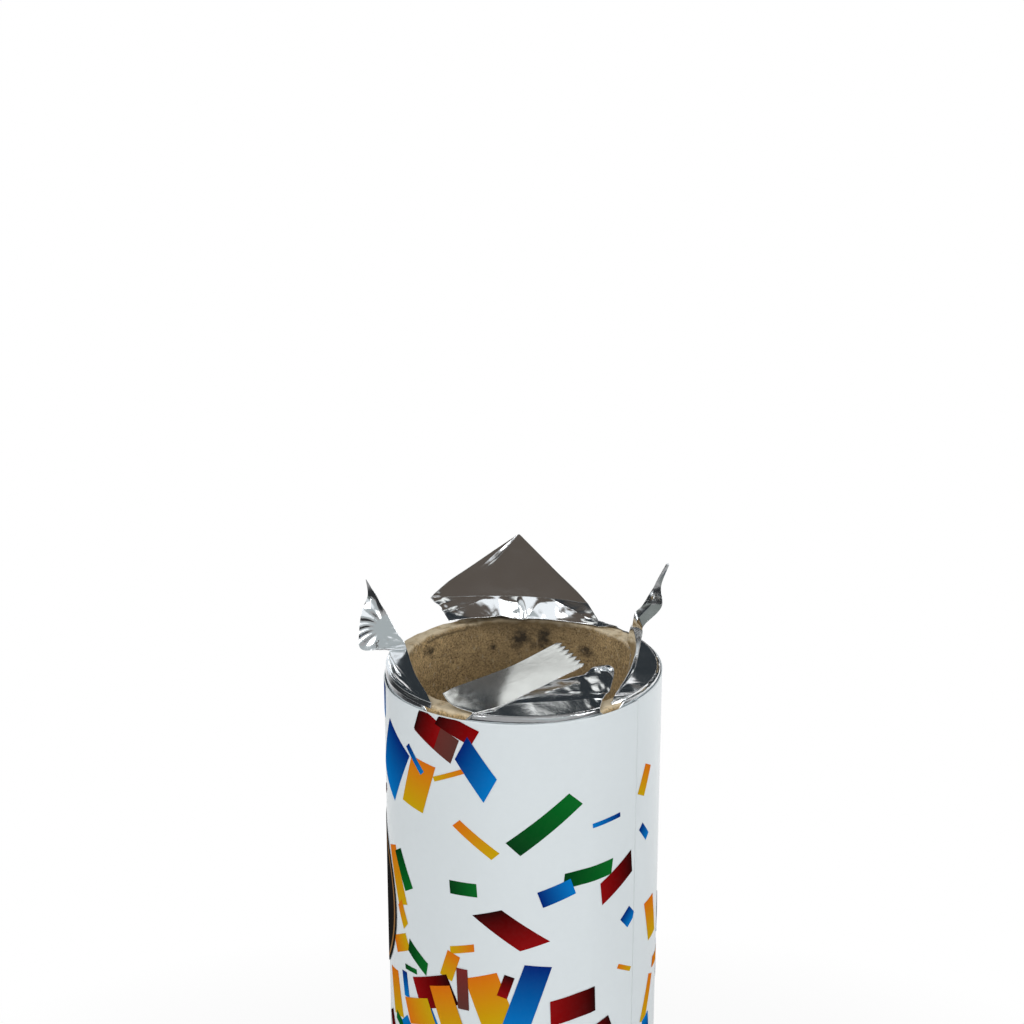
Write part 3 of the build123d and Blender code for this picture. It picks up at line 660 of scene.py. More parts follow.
def stretched(tree, vector, scale):
    """Vector scaled by its own amount on each axis."""
    return node(tree, "ShaderNodeMapping", {"Vector": vector, "Scale": scale}).outputs[0]


def vector_math(tree, operation, first, second):
    """The node of one operation on two vectors."""
    return node(tree, "ShaderNodeVectorMath", {0: first, 1: second}, operation=operation)


def distance(tree, vector, point=(0.0, 0.0, 0.0)):
    """How far a vector is from a point."""
    return vector_math(tree, "DISTANCE", vector, point).outputs["Value"]


def new_group(name, scale, outputs):
    """Shader node group with a vector and a scale to read, and named values to put out."""
    group = bpy.data.node_groups.new(name, "ShaderNodeTree")
    group.interface.new_socket(name="Vector", in_out="INPUT", socket_type="NodeSocketVector")
    size = group.interface.new_socket(name="Scale", in_out="INPUT", socket_type="NodeSocketFloat")
    size.default_value = scale
    for label in outputs:
        group.interface.new_socket(name=label, in_out="OUTPUT", socket_type="NodeSocketFloat")
    start = group.nodes.new("NodeGroupInput").outputs
    return group, start["Vector"], start["Scale"], group.nodes.new("NodeGroupOutput").inputs


def grain_group(name):
    """Fine grain of board, felt, paper and plastic: a tone and a height of about 0 to 1, and flecks."""
    group, vector, scale, end = new_group(name, 900.0, ("Tone", "Height", "Flecks"))
    coarse = noise(group, vector, times(group, scale, 0.12), 4.0)
    fine = noise(group, vector, scale, 4.0, 0.65)
    fleck = noise(group, stretched(group, vector, (1.0, 1.0, 0.45)), times(group, scale, 0.55), 2.0)
    fill(group, end["Tone"], average(group, coarse, fine))
    fill(group, end["Height"], fine)
    fill(group, end["Flecks"], mapped(group, fleck, 0.62, 0.70))
    return group


def crinkle_group(name):
    """Small crinkles of foil: sharp lines between flat cells, over slow dents."""
    group, vector, scale, end = new_group(name, 500.0, ("Height", "Rub"))
    bend = noise(group, vector, times(group, scale, 0.6), 2.0)
    push = vector_math(group, "MULTIPLY", bend, (CRINKLE_BEND,) * 3).outputs[0]
    shifted = vector_math(group, "ADD", vector, push).outputs[0]
    inputs = {"Vector": shifted, "Scale": scale}
    cells = node(group, "ShaderNodeTexVoronoi", inputs, feature="DISTANCE_TO_EDGE")
    ridge = mapped(group, cells.outputs["Distance"], 0.0, 0.22)
    dents = noise(group, vector, times(group, scale, 0.35), 3.0)
    fill(group, end["Height"], plus(group, times(group, ridge, 0.5), dents))
    rub = noise(group, vector, times(group, scale, 0.2), 5.0)
    fill(group, end["Rub"], mapped(group, rub, 0.35, 0.75))
    return group


def placed_group(tree, maker, name, vector, scale):
    """Outputs of a node group, made on first use, that reads a vector at a scale."""
    group = bpy.data.node_groups.get(name) or maker(name)
    return node(tree, "ShaderNodeGroup", {"Vector": vector, "Scale": scale}, node_tree=group).outputs


def new_material(name, **values):
    """Material with a Principled shader; values set its sockets by name with _ for spaces."""
    material = bpy.data.materials.new(name)
    material.use_nodes = True
    tree = material.node_tree
    shader = tree.nodes["Principled BSDF"]
    for key, value in values.items():
        fill(tree, shader.inputs[key.replace("_", " ")], value)
    return material, tree, shader


def object_vector(tree):
    """The object's own coordinates."""
    return node(tree, "ShaderNodeTexCoord").outputs["Object"]


def grained(tree, scale):
    """The object's own coordinates, and the grain on them."""
    vector = object_vector(tree)
    return vector, placed_group(tree, grain_group, "popper_grain", vector, scale)


def bumped(tree, shader, height, strength, depth):
    """Height linked to the shader's normal."""
    bump = node(tree, "ShaderNodeBump", {"Height": height, "Strength": strength, "Distance": depth})
    fill(tree, shader.inputs["Normal"], bump.outputs["Normal"])


def dented(tree, shader, vector):
    """Slow dents of paper that is glued round a tube."""
    dents = noise(tree, stretched(tree, vector, (1.0, 1.0, 0.4)), 90.0, 2.0)
    bumped(tree, shader, dents, 0.10, 0.3 * MM)


def toned(tree, shader, tone, colour, dark, pale):
    """Base colour between two shades of one colour."""
    fill(tree, shader.inputs["Base Color"], mixed(tree, tone, shade(colour, dark), shade(colour, pale)))


def soot_share(tree, vector):
    """How sooty the bore's wall is: a noise, raised near each spot, where it passes a limit."""
    spots = []
    for degrees, drop, size in SOOT_SPOTS:
        spot = polar(BORE_RADIUS, math.radians(degrees), RIM - drop * MM)
        spots.append(mapped(tree, distance(tree, vector, spot), 0.1 * size * MM, size * MM, 0.34, 0.0))
    blots = plus(tree, noise(tree, vector, 420.0, 5.0, 0.7), math_node(tree, "MAXIMUM", *spots))
    radius = distance(tree, stretched(tree, vector, (1.0, 1.0, 0.0)))
    inside = mapped(tree, radius, BORE_RADIUS + 0.5 * MM, BORE_RADIUS + 1.5 * MM, 1.0, 0.0)
    return times(tree, mapped(tree, blots, 0.61, 0.86), inside, 0.92)


def board_material(settings):
    """Raw grey-brown board with fibres and flecks, a pale cut rim, soot near the mouth, and painted shade
    under the rear petal and along the torn ply's step.
    """
    material, tree, shader = new_material("raw_board", Roughness=0.88, Specular_IOR_Level=0.25)
    vector, parts = grained(tree, 3000.0)
    height = node(tree, "ShaderNodeSeparateXYZ", {"Vector": vector}).outputs["Z"]
    board, rim = settings.board_colour, settings.rim_colour
    tone = mapped(tree, average(tree, parts["Tone"], parts["Height"]), 0.37, 0.65)
    colour = mixed(tree, tone, shade(board, 0.36), shade(board, 1.60))
    specks = mapped(tree, noise(tree, vector, 1900.0, 2.0), 0.60, 0.68)
    # Painted shadow of the rear petal on the back of the bore, darkest a little below the rim
    petal_shadow = mapped(tree, distance(tree, vector, PETAL_SHADOW_MIDDLE), 3 * MM, 24 * MM, 0.62, 0.0)
    wave = mapped(tree, noise(tree, vector, 420.0, 3.0), 0.3, 0.7, -0.5 * MM, 0.5 * MM)
    cut = mapped(tree, plus(tree, height, wave), RIM - 0.9 * MM, RIM - 0.1 * MM)
    # The tint attribute holds painted shade along the step where the inner ply is torn off
    torn = node(tree, "ShaderNodeAttribute", attribute_name="tint").outputs["Fac"]
    # Soot on the back of the rim together with painted shade under the rear petal's fold; near_top keeps it
    # to the rim's top few millimetres
    soot_and_shade = plus(tree, distance(tree, vector, SOOT_AND_SHADE_MIDDLE), times(tree, wave, 4.0))
    soot_and_shade = mapped(tree, soot_and_shade, 8 * MM, 13 * MM, 0.72, 0.0)
    near_top = mapped(tree, height, RIM - 3.0 * MM, RIM - 0.8 * MM)
    layers = (
        (times(tree, specks, 0.75), shade(board, 0.16)),
        (times(tree, parts["Flecks"], 0.40), rim),
        (petal_shadow, shade(board, 0.30)),
        (times(tree, cut, 0.85), rim),
        (times(tree, torn, 0.8), shade(board, 0.14)),
        (times(tree, soot_and_shade, near_top), shade(board, 0.20)),
        (soot_share(tree, vector), settings.soot_colour),
    )
    for share, over in layers:
        colour = mixed(tree, share, colour, over)
    fill(tree, shader.inputs["Base Color"], colour)
    bumped(tree, shader, parts["Height"], 0.55, 0.12 * MM)
    return material


def foil_material(name, colour, crinkle_scale, strength, roughness):
    """Metallised film: bright metal with fine crinkles and faint rubbed patches; it reads the UV map."""
    material, tree, shader = new_material(name, Base_Color=colour, Metallic=1.0)
    vector = node(tree, "ShaderNodeTexCoord").outputs["UV"]
    parts = placed_group(tree, crinkle_group, "popper_crinkle", vector, crinkle_scale)
    rough = mapped(tree, parts["Rub"], 0.0, 1.0, roughness, roughness + 0.10)
    fill(tree, shader.inputs["Roughness"], rough)
    bumped(tree, shader, parts["Height"], strength, 0.10 * MM)
    return material


def gloss_paper(name, settings):
    """Cool white laminated paper: faint mottling below a clear gloss."""
    material, tree, shader = new_material(name, Roughness=PRINT_GLOSS, Specular_IOR_Level=0.30)
    vector, parts = grained(tree, 700.0)
    toned(tree, shader, mapped(tree, parts["Tone"], 0.3, 0.7), settings.paper_colour, 0.97, 1.0)
    dented(tree, shader, vector)
    return material


def ink_material():
    """Printed ink under the same gloss; its colour is the mesh's own."""
    material, tree, shader = new_material("printed_ink", Roughness=PRINT_GLOSS, Specular_IOR_Level=0.0)
    ink = node(tree, "ShaderNodeAttribute", attribute_name="tint").outputs["Color"]
    vector, parts = grained(tree, 1500.0)
    screen = mapped(tree, parts["Tone"], 0.3, 0.7, 0.0, 0.008)
    fill(tree, shader.inputs["Base Color"], mixed(tree, screen, ink, (0.80, 0.80, 0.80)))
    dented(tree, shader, vector)
    return material


def moulded_material(name, colour, roughness):
    """Moulded plastic: fine spark texture and slightly uneven gloss."""
    material, tree, shader = new_material(name)
    _, parts = grained(tree, 2600.0)
    toned(tree, shader, parts["Tone"], colour, 0.85, 1.2)
    rough = mapped(tree, parts["Tone"], 0.3, 0.7, roughness - 0.06, roughness + 0.08)
    fill(tree, shader.inputs["Roughness"], rough)
    bumped(tree, shader, parts["Height"], 0.18, 0.05 * MM)
    return material


def metal_material(name, colour, roughness):
    """Drawn metal: turned lines round the axis and uneven polish."""
    material, tree, shader = new_material(name, Base_Color=colour, Metallic=1.0)
    lines = noise(tree, stretched(tree, object_vector(tree), (60.0, 60.0, 2400.0)), 1.0, 3.0)
    rough = mapped(tree, lines, 0.3, 0.7, roughness - 0.05, roughness + 0.12)
    fill(tree, shader.inputs["Roughness"], rough)
    bumped(tree, shader, lines, 0.15, 0.03 * MM)
    return material


def fibre_material(name, colour, roughness=0.95):
    """Felt, rubber or uncoated paper: matt, with a grain."""
    material, tree, shader = new_material(name, Roughness=roughness, Specular_IOR_Level=0.3)
    _, parts = grained(tree, 1500.0)
    toned(tree, shader, parts["Tone"], colour, 0.6, 1.35)
    bumped(tree, shader, parts["Height"], 0.6, 0.15 * MM)
    return material


# Shapes


def tube_points(settings):
    """Paper tube as a closed profile carried round the axis: outer wall, rounded rim, inner wall, foot.

    On the left of the mouth the inner ply is torn off above a line, which steps the wall back. The second
    result is painted shade along that line, at the step.
    """
    angle = round_angles(400)
    bend, foot, mouth = settings.edge_round, TUBE_LOW.z, RIM - MOUTH_DEPTH
    shoulder = RIM - bend
    profile = np.concatenate([
        np.linspace((TUBE_RADIUS, foot), (TUBE_RADIUS, shoulder), 12),
        quarter_turn((TUBE_RADIUS - bend, shoulder), bend, 0)[1:],
        np.linspace((TUBE_RADIUS - bend, RIM), (BORE_RADIUS + bend, RIM), 8)[1:],
        quarter_turn((BORE_RADIUS + bend, shoulder), bend, 1)[1:],
        np.linspace((BORE_RADIUS, shoulder), (BORE_RADIUS, mouth), 70)[1:],
        np.linspace((BORE_RADIUS, mouth), (BORE_RADIUS, foot), 90)[1:],
        [(TUBE_RADIUS, foot)],
    ])
    radius, height, arc = np.broadcast_arrays(profile[:, :1], profile[:, 1:], angle * TUBE_RADIUS)
    rng = np.random.default_rng(5)
    wave = waves(arc, 2 * radius, rng, 9 * MM) + 0.6 * waves(arc, 3 * radius, rng, 3 * MM)
    height = height + smoothstep(RIM - 2 * MM, RIM, height) * settings.rim_wave * (wave - 1)
    degrees = np.degrees(angle)
    middle, notch, depth = TORN_NOTCH
    torn = span(degrees, *TORN_STRETCH) + depth * np.exp(-((degrees - middle) / notch) ** 2) + 0.2 * wave
    below = torn * MM - (RIM - height)
    tear = smoothstep(0.3, 0.6, torn) * np.clip((BORE_RADIUS + TORN_WALL - radius) / TORN_WALL, 0, 1)
    radius = radius + settings.torn_ply * smoothstep(0, 0.25 * MM, below) * tear
    # Painted shade along the tear's step, darker than the shallow step would shade by itself
    line = np.exp(-(below / (0.22 * MM)) ** 2) * tear
    return polar(radius, angle, height), np.repeat(line.reshape(-1, 1), 4, axis=1)


def seam_arc(settings):
    """Place of the lap's edge along the wrap, to the right of the front."""
    return (settings.seam_angle + math.pi / 2) * WRAP_RADIUS


def wrap_radius(arc, settings):
    """Outer radius of the wrap at a place along its circumference: it climbs over the lap's hidden edge."""
    behind = (seam_arc(settings) - arc) % (math.tau * WRAP_RADIUS)
    lifted = smoothstep(-LAP_RAMP, 0, -np.abs(behind - settings.lap / 2) + settings.lap / 2)
    return WRAP_RADIUS + settings.thickness * np.where(behind <= settings.lap, 1.0, lifted)


def wrap_top(angle):
    """Height of the wrap's top edge: it was put on a little askew and dips on the left and in front."""
    left, front = (1 - np.cos(angle)) / 2, (1 - np.sin(angle)) / 2
    return WRAP_HIGH.z + WRAP_RAISE - WRAP_DIP * left ** 5 - FRONT_DIP * front ** 4


def wrap_points(settings):
    """Wrap as a strip carried once round the tube, from the seam's edge back to it, and from the top down."""
    arc = seam_arc(settings) - np.linspace(0, math.tau * WRAP_RADIUS, 385)
    share = np.concatenate([[1, 0.9985], np.linspace(0.97, 0.03, 14), [0.0015, 0]])[:, None]
    radius = wrap_radius(arc, settings)
    radius[-1] = WRAP_RADIUS
    angle = (arc / WRAP_RADIUS - math.pi / 2)[None, :]
    return polar(radius[None, :], angle, WRAP_LOW.z + (wrap_top(angle) - WRAP_LOW.z) * share)


def on_wrap(arc, drop, settings, lift):
    """Points on the wrap, from the way round to the right of the front and the drop below the rim."""
    radius = wrap_radius(arc, settings) + lift
    return polar(radius, arc / WRAP_RADIUS - math.pi / 2, RIM - drop)


def slip_table(settings):
    """All printed slips as arrays: the front's own, then slips strewn over the rest by a fixed seed."""
    names = list(SLIP_COLOURS)
    shown = np.array([slip[:6] for slip in PRINT_SLIPS])
    kinds = np.array([names.index(slip[6]) for slip in PRINT_SLIPS])
    rng = np.random.default_rng(8)
    count = settings.spare_slips
    drop = SPARE_DROP + SPARE_RUN * rng.uniform(size=count) ** 0.8
    half_front = np.where(drop < SHOWN_DROP, SHOWN_ARC, 0.0)
    side = rng.choice([-1, 1], count)
    arc = side * (half_front + (math.pi * WRAP_RADIUS / MM - half_front - 1) * rng.uniform(size=count))
    length = rng.uniform(*SPARE_LENGTH, count)
    width = np.minimum(length * rng.uniform(*SPARE_WIDTH, count), SPARE_WIDEST)
    tilt = rng.uniform(0, 360, count)
    skew = rng.uniform(-SPARE_SKEW, SPARE_SKEW, count)
    spare = np.stack([arc, drop, length, width, tilt, skew], -1)
    spare_kinds = rng.choice([names.index(name) for name in SPARE_COLOURS], count)
    clear = np.linalg.norm(spare[:, :2] - np.array(BADGE_PLACE), axis=-1) > BADGE_RADIUS / MM - 1
    clear &= np.abs(arc - seam_arc(settings) / MM) > length / 2 + 1
    return np.concatenate([shown, spare[clear]]), np.concatenate([kinds, spare_kinds[clear]])


def slip_layers(table):
    """Layer of each printed slip: one above the highest of those laid before it that it may touch."""
    reach = np.hypot(table[:, 2], table[:, 3]) / 2
    apart = np.linalg.norm(table[:, None, :2] - table[None, :, :2], axis=-1)
    touching = apart < reach[:, None] + reach[None, :]
    order = np.argsort(np.arange(len(table)) % PRINT_TURNS, kind="stable")
    layer = np.zeros(len(table))
    for turn, slip in enumerate(order):
        below = order[:turn][touching[slip, order[:turn]]]
        layer[slip] = 1 + layer[below].max(initial=-1)
    return layer


def slip_points(settings):
    """Each slip as a small grid on the wrap: centre plus shares of its tilted length and skewed width."""
    table, kinds = slip_table(settings)
    along = np.linspace(-0.5, 0.5, 9)[None, :, None]
    across = np.linspace(-0.5, 0.5, 7)[None, None, :]
    arc, drop, length, width = [table[:, i, None, None] * MM for i in range(4)]
    tilt, skew = [np.radians(table[:, i, None, None]) for i in (4, 5)]
    x = arc + along * length * np.cos(tilt) - across * width * np.sin(tilt + skew)
    y = drop + along * length * np.sin(tilt) + across * width * np.cos(tilt + skew)
    top = RIM - wrap_top(x / WRAP_RADIUS - math.pi / 2) + PRINT_MARGIN
    y = np.clip(y, top, RIM - WRAP_LOW.z - PRINT_MARGIN)
    layer = slip_layers(table)[:, None, None]
    points = on_wrap(x, y, settings, settings.print_lift * (1 + LAYER_STEP * layer))
    dark, bright = [np.array([pair[i] for pair in SLIP_COLOURS.values()])[kinds] for i in (0, 1)]
    share = np.broadcast_to(along + 0.5, x.shape)[..., None]
    colours = dark[:, None, None] + (bright - dark)[:, None, None] * share
    return points, np.concatenate([colours, np.ones_like(share)], -1)


def badge_points(settings):
    """Plain round panel as rings of points; the line inside its edge is a point colour."""
    ring = np.linspace(0.001, 1, 60)[:, None]
    angle = round_angles(180)
    x = BADGE_PLACE[0] * MM + BADGE_RADIUS * ring * np.cos(angle)
    y = BADGE_PLACE[1] * MM + BADGE_RADIUS * ring * np.sin(angle)
    points = on_wrap(x, y, settings, settings.print_lift * BADGE_LIFT)
    middle, half = BADGE_LINE
    line = (np.abs(ring - middle) < half) & (angle >= 0)
    ink = np.where(line[..., None], tuple(settings.badge_ring_colour), tuple(settings.badge_colour))
    return points, np.concatenate([ink, np.ones((*ink.shape[:2], 1))], -1)


def bare_share(angle):
    """1 where the rim has no foil and 0 where it has, with soft ends."""
    bare = np.zeros_like(angle)
    for first, last in np.radians(BARE_RIM):
        half = (last - first) / 2
        away = np.abs((angle - (first + last) / 2 + math.pi) % math.tau - math.pi)
        bare = np.maximum(bare, 1 - smoothstep(half - BARE_SOFT, half + BARE_SOFT, away))
    return bare


def collar_points():
    """Skirt of the foil round the tube's end: it climbs the wall and rolls raggedly over the rim's edge."""
    angle = round_angles(360)
    rng = np.random.default_rng(17)
    radius = (TUBE_RADIUS + WRAP_RADIUS) / 2 - SKIRT_GAP
    arc = angle * radius
    ragged = waves(arc, 0 * arc, rng, 7 * MM) + 0.7 * waves(arc, 0 * arc, rng, 2.2 * MM)
    reach = np.clip(0.10 * MM + 0.35 * MM * ragged, 0.05 * MM, 1.2 * MM)
    bare = bare_share(angle)
    low = COLLAR_LOW.z + 0.3 * MM
    shoulder = RIM + 0.02 * MM - 1.6 * MM * bare - SKIRT_ROLL
    wall = np.linspace(0, 1, 16)[:, None]
    dents = 0.07 * MM * crumple(arc + 0 * wall, 9 * MM * wall + 0 * arc, 31, 7 * MM)
    climb = polar(radius + dents, angle, low + (shoulder - low) * wall)
    roll = np.linspace(0, 1, 12)[:, None]
    turn = np.minimum(roll * 3, 1) * math.pi / 2
    slide = np.maximum(roll - 1 / 3, 0) * 1.5 * reach * (1 - 0.98 * bare)
    lip = radius - SKIRT_ROLL * (1 - np.cos(turn)) * (1 - bare) - slide
    over = polar(lip, angle, shoulder + SKIRT_ROLL * np.sin(turn))
    points = np.concatenate([climb, over[1:]])
    height = points[..., 2]
    u = np.broadcast_to(arc, height.shape)
    lift = smoothstep(RIM - 0.6 * MM, RIM, height) * 0.09 * MM
    height += lift * (1 + crumple(u, 2 * points[..., 0] + height, 19, 2.4 * MM))
    return points, np.stack([u, height], -1)


def local_points(shares, azimuth):
    """Points from shares of the bore's radius, turned to a petal's side of the rim."""
    outwards, along, up = np.moveaxis(np.asarray(shares, float) * BORE_RADIUS, -1, 0)
    turn = math.radians(azimuth)
    x = outwards * math.cos(turn) - along * math.sin(turn)
    y = outwards * math.sin(turn) + along * math.cos(turn)
    return np.stack([x, y, TAB_TOP + up], -1)


def petal_net(petal):
    """Coarse net of a petal in shares, and the row of each of its lines.

    The lines are the foot on the tube's wall, the rim's edge, the fold, and free rows up to the tip. Each is
    a parabola through torn edge, spine and torn edge. Gathers move the fold and the first free row. Beside a
    sharp row two more lines hold the crease.
    """
    t = np.linspace(-1, 1, NET_COLUMNS)
    parabola = np.stack([t * (t - 1) / 2, 1 - t * t, t * (t + 1) / 2], -1)
    free = np.einsum("jk,ikx->ijx", parabola, np.array(petal["rows"]))
    if petal["gathers"]:
        across, *moved = np.array(petal["gathers"]).T
        for line, axis, values in zip((1, 1, 0, 0), (2, 0, 2, 0), moved):
            free[line, :, axis] = np.interp(t, across, values)
    first, last = np.radians(petal["root"])
    spread = first + (last - first) * (t + 1) / 2
    edge = np.array([TUBE_RADIUS + LIP_GAP, TUBE_RADIUS - petal["inset"] * MM])[:, None] / BORE_RADIUS
    up = np.array([-petal["drop"], petal["lip"]])[:, None] * MM / BORE_RADIUS
    foot = np.stack(np.broadcast_arrays(edge * np.cos(spread), edge * np.sin(spread), up), -1)
    net = np.concatenate([foot, free])
    row = np.arange(len(net)) - 1.0
    for crease in petal["sharp"]:
        at = int(np.searchsorted(row, crease))
        near = [net[at] + (net[at + step] - net[at]) * CREASE for step in (-1, 1)]
        beside = [row[at] + (row[at + step] - row[at]) * CREASE for step in (-1, 1)]
        net = np.insert(net, [at, at + 1], near, axis=0)
        row = np.insert(row, [at, at + 1], beside)
    return net, row


def petal_creases(petal, settings, shares, row, t, width, wander):
    """Height of a petal's crumple, crushed places, pleats and hem above its smooth sheet.

    The crumple's depth depends on the row and on the place across. Pleats are a triangle wave of the angle
    round the star's point. The hem is a roof along its line.
    """
    on_rim, band, face, torn, end = petal["crumple"]
    above, share = row - petal["leaves"], row / row[-1, 0]
    free = smoothstep(0.0, 0.5, above)
    in_band = free * (1 - smoothstep(1.1, 1.9, above))
    depth = on_rim * (1 - free) + face * free + (band - face) * in_band + torn * free * t ** 4
    depth = depth * np.minimum(1, width / (8 * MM)) + end * smoothstep(0.60, 0.78, share)
    across = shares[..., petal["cloth"]]
    cloth = across * BORE_RADIUS, (shares.sum(-1) - across) * BORE_RADIUS
    height = 2 * depth * crumple(*cloth, petal["seed"], settings.crease_length)
    large = crumple(*cloth, petal["seed"] + 5, 1.4 * settings.crease_length, 3)
    for none, full, first, last, more in petal["crushed"]:
        within = span(row, first - 0.3, first + 0.3, last - 0.3, last + 0.3)
        height = height + more * large * smoothstep(none, full, t) * within
    outwards, level, folds, fold = petal["star"]
    reach = shares[..., 0] - outwards, shares[..., 2] - level
    turn = np.arctan2(reach[1], reach[0]) / math.tau
    fading = smoothstep(0.02, 0.16, np.hypot(*reach)) * smoothstep(0.0, 0.6, above)
    fading = fading * (0.3 + 0.7 * smoothstep(-0.10, 0.02, reach[0])) * (1 - smoothstep(0.8, 1.0, share))
    height = height + fold * triangle(turn * folds + 0.4 * wander) * fading
    at, start, rise, half = petal["hem"]
    height = height + rise * np.maximum(1 - np.abs(t - at) / half, 0) * smoothstep(start, start + 1.0, row)
    return height * MM


def petal_points(petal, settings):
    """One torn quarter of the lid: a smooth sheet through the petal's net, creased along its normals.

    Ridges are lopsided roofs along the rim, added to the height.
    """
    net, row_of = petal_net(petal)
    rows, columns = 176, 129
    shares = net_surface(net, rows, columns)
    points = local_points(shares, petal["azimuth"])
    row = np.interp(np.linspace(0, len(net) - 1, rows), np.arange(len(net)), row_of)[:, None]
    t = np.linspace(-1, 1, columns)[None, :]
    u, v = sheet_lengths(points)
    width = np.ptp(u, axis=1)[:, None]
    wander = waves(u, v, np.random.default_rng(petal["seed"] + 1), 9 * MM)
    height = petal_creases(petal, settings, shares, row, t, width, wander)
    points = points + sheet_normals(points) * height[..., None]
    for low, high, rise, first, last in petal["ridges"]:
        gap = row - low - (high - low) * (t + 1) / 2 - 0.06 * wander
        roof = np.maximum(np.minimum(1 + gap / RIDGE_RISE, 1 - gap / RIDGE_FALL), 0)
        points[..., 2] += rise * MM * roof * span(t, first, first + 0.3, last - 0.4, last)
    return points, np.stack([u, v], -1)


def tape_points(settings):
    """Tape strip between its four corners, with a crease across it and a zigzag cut at the free end.

    The height falls evenly from both ends to a slanting crease, which is rounded. So is the stuck end.
    """
    rows, columns = 120, 1 + 12 * settings.tooth_count
    near, far = np.array(TAPE_CORNERS)
    s = np.linspace(0, 1, rows)[:, None]
    t = np.linspace(0, 1, columns)[None, :]
    along = [corners[0] + (corners[1] - corners[0]) * s[..., None] for corners in (near, far)]
    flat = local_points(along[0] * (1 - t[..., None]) + along[1] * t[..., None], PETALS["front"]["azimuth"])
    run = flat[-1] - flat[0]
    run = run / np.linalg.norm(run, axis=-1, keepdims=True)
    teeth = (triangle(t * settings.tooth_count) + 1) / 2 * settings.tooth_depth * smoothstep(0.94, 1, s)
    round_end = 1.2 * MM * np.sin(math.pi * t) * smoothstep(0.15, 0, s)
    points = flat + (teeth - round_end)[..., None] * run[None]
    u, v = sheet_lengths(points)
    crease = TAPE_CREASE[0] + (TAPE_CREASE[1] - TAPE_CREASE[0]) * t
    rise, fall = s / crease, (1 - s) / (1 - crease)
    sag = settings.tape_sag * 0.5 * (rise + fall - np.hypot(rise - fall, TAPE_BEND))
    bow = 0.15 * MM * np.sin(math.pi * t) * np.sin(math.pi * s)
    wrinkle = 0.012 * MM * crumple(u, v, 53, 5 * MM) * (0.4 + 2 * smoothstep(0.5, 0, s))
    corner = 0.4 * MM * smoothstep(0.10, 0, s) * t ** 2
    points = points + sheet_normals(flat) * (bow + wrinkle + corner)[..., None]
    points[..., 2] -= sag
    return points, np.stack([u, v], -1)


def loose_slip_points():
    """Leftover slips on the wad: each a curled strip, resting at its middle on the layers below."""
    length, width = 16 * MM, 7 * MM
    ring, step = 11 * MM, 3 * MM
    layers, kinds = 3, 4
    a = np.linspace(-0.5, 0.5, 25)[None, None, :, None]
    b = np.linspace(-0.5, 0.5, 9)[None, None, None, :]
    kind = np.arange(kinds)[:, None, None, None]
    layer = np.arange(layers)[None, :, None, None]
    angle = math.tau / kinds * ((kind + layer) % kinds) + math.radians(30) * layer
    curl = (1.2 + 0.9 * ((kind * 2 + layer * 3) % 4)) * MM
    x = ring + b * width + 0 * a
    y = step + a * length + 0 * b
    z = WAD_HIGH.z + 0.2 * MM * (layer + 0.5) + curl * 4 * a ** 2 + 0.4 * MM * np.sin(a * 9 + kind) * b
    z = np.maximum(z, WAD_HIGH.z + 0.08 * MM + 0.2 * MM * layer)
    x, y, z, angle = np.broadcast_arrays(x, y, z, angle)
    return np.stack([x * np.cos(angle) - y * np.sin(angle), x * np.sin(angle) + y * np.cos(angle), z], -1)


def wad_points():
    """Felt wad as a closed profile carried round the axis, with rounded edges and an uneven face."""
    bend, middle = 0.8 * MM, 0.1 * MM
    low, high, edge = WAD_LOW.z, WAD_HIGH.z, WAD_HIGH.x - bend
    profile = np.concatenate([
        np.linspace((middle, low), (edge, low), 30),
        quarter_turn((edge, low + bend), bend, -1)[1:],
        quarter_turn((edge, high - bend), bend, 0),
        np.linspace((edge, high), (middle, high), 40)[1:],
    ])
    points = polar(profile[:, :1], round_angles(180), profile[:, 1:])
    fuzz = waves(points[..., 0], points[..., 1], np.random.default_rng(29), 6 * MM)
    points[..., 2] -= 0.12 * MM * (1 + fuzz) * smoothstep(low + 1 * MM, high, points[..., 2])
    return points


def spring_points(settings):
    """Spring as a round wire along a rising circle: rings of points square to it, narrow at both ends."""
    wire = settings.spring_wire / 2
    radius = SPRING_HIGH.x - wire
    share = np.linspace(0, 1, 40 * settings.spring_turns + 1)
    share = np.concatenate([[0], share, [1]])[:, None]
    turn = math.tau * settings.spring_turns * share
    rise = SPRING_HIGH.z - SPRING_LOW.z - 2 * wire
    path = polar(radius, turn, SPRING_LOW.z + wire + rise * share)
    outwards = polar(1.0, turn, 0 * turn)
    heading = polar(math.tau * settings.spring_turns * radius, turn + math.pi / 2, rise + 0 * turn)
    across = np.cross(heading / np.linalg.norm(heading, axis=-1, keepdims=True), outwards)
    side = round_angles(12)[..., None]
    thick = np.full((len(share), 1, 1), wire)
    thick[[0, -1]] = 0.02 * wire
    return path + thick * (np.cos(side) * outwards + np.sin(side) * across)


# Operators


class POPPER_OT_tube(Operator):
    """Make the spiral-wound paper tube."""

    bl_idname = "popper.tube"
    bl_label = "Paper tube"

    def execute(self, context):
        settings = context.scene.popper_tube
        # torn is the painted shade along the tear's step, kept as point colours
        points, torn = tube_points(settings)
        piece = new_piece("paper_tube", points, board_material(settings), closed=True, colours=torn)
        place(piece, "barrel", "kraft_board", "barrel_tube")
        return {"FINISHED"}


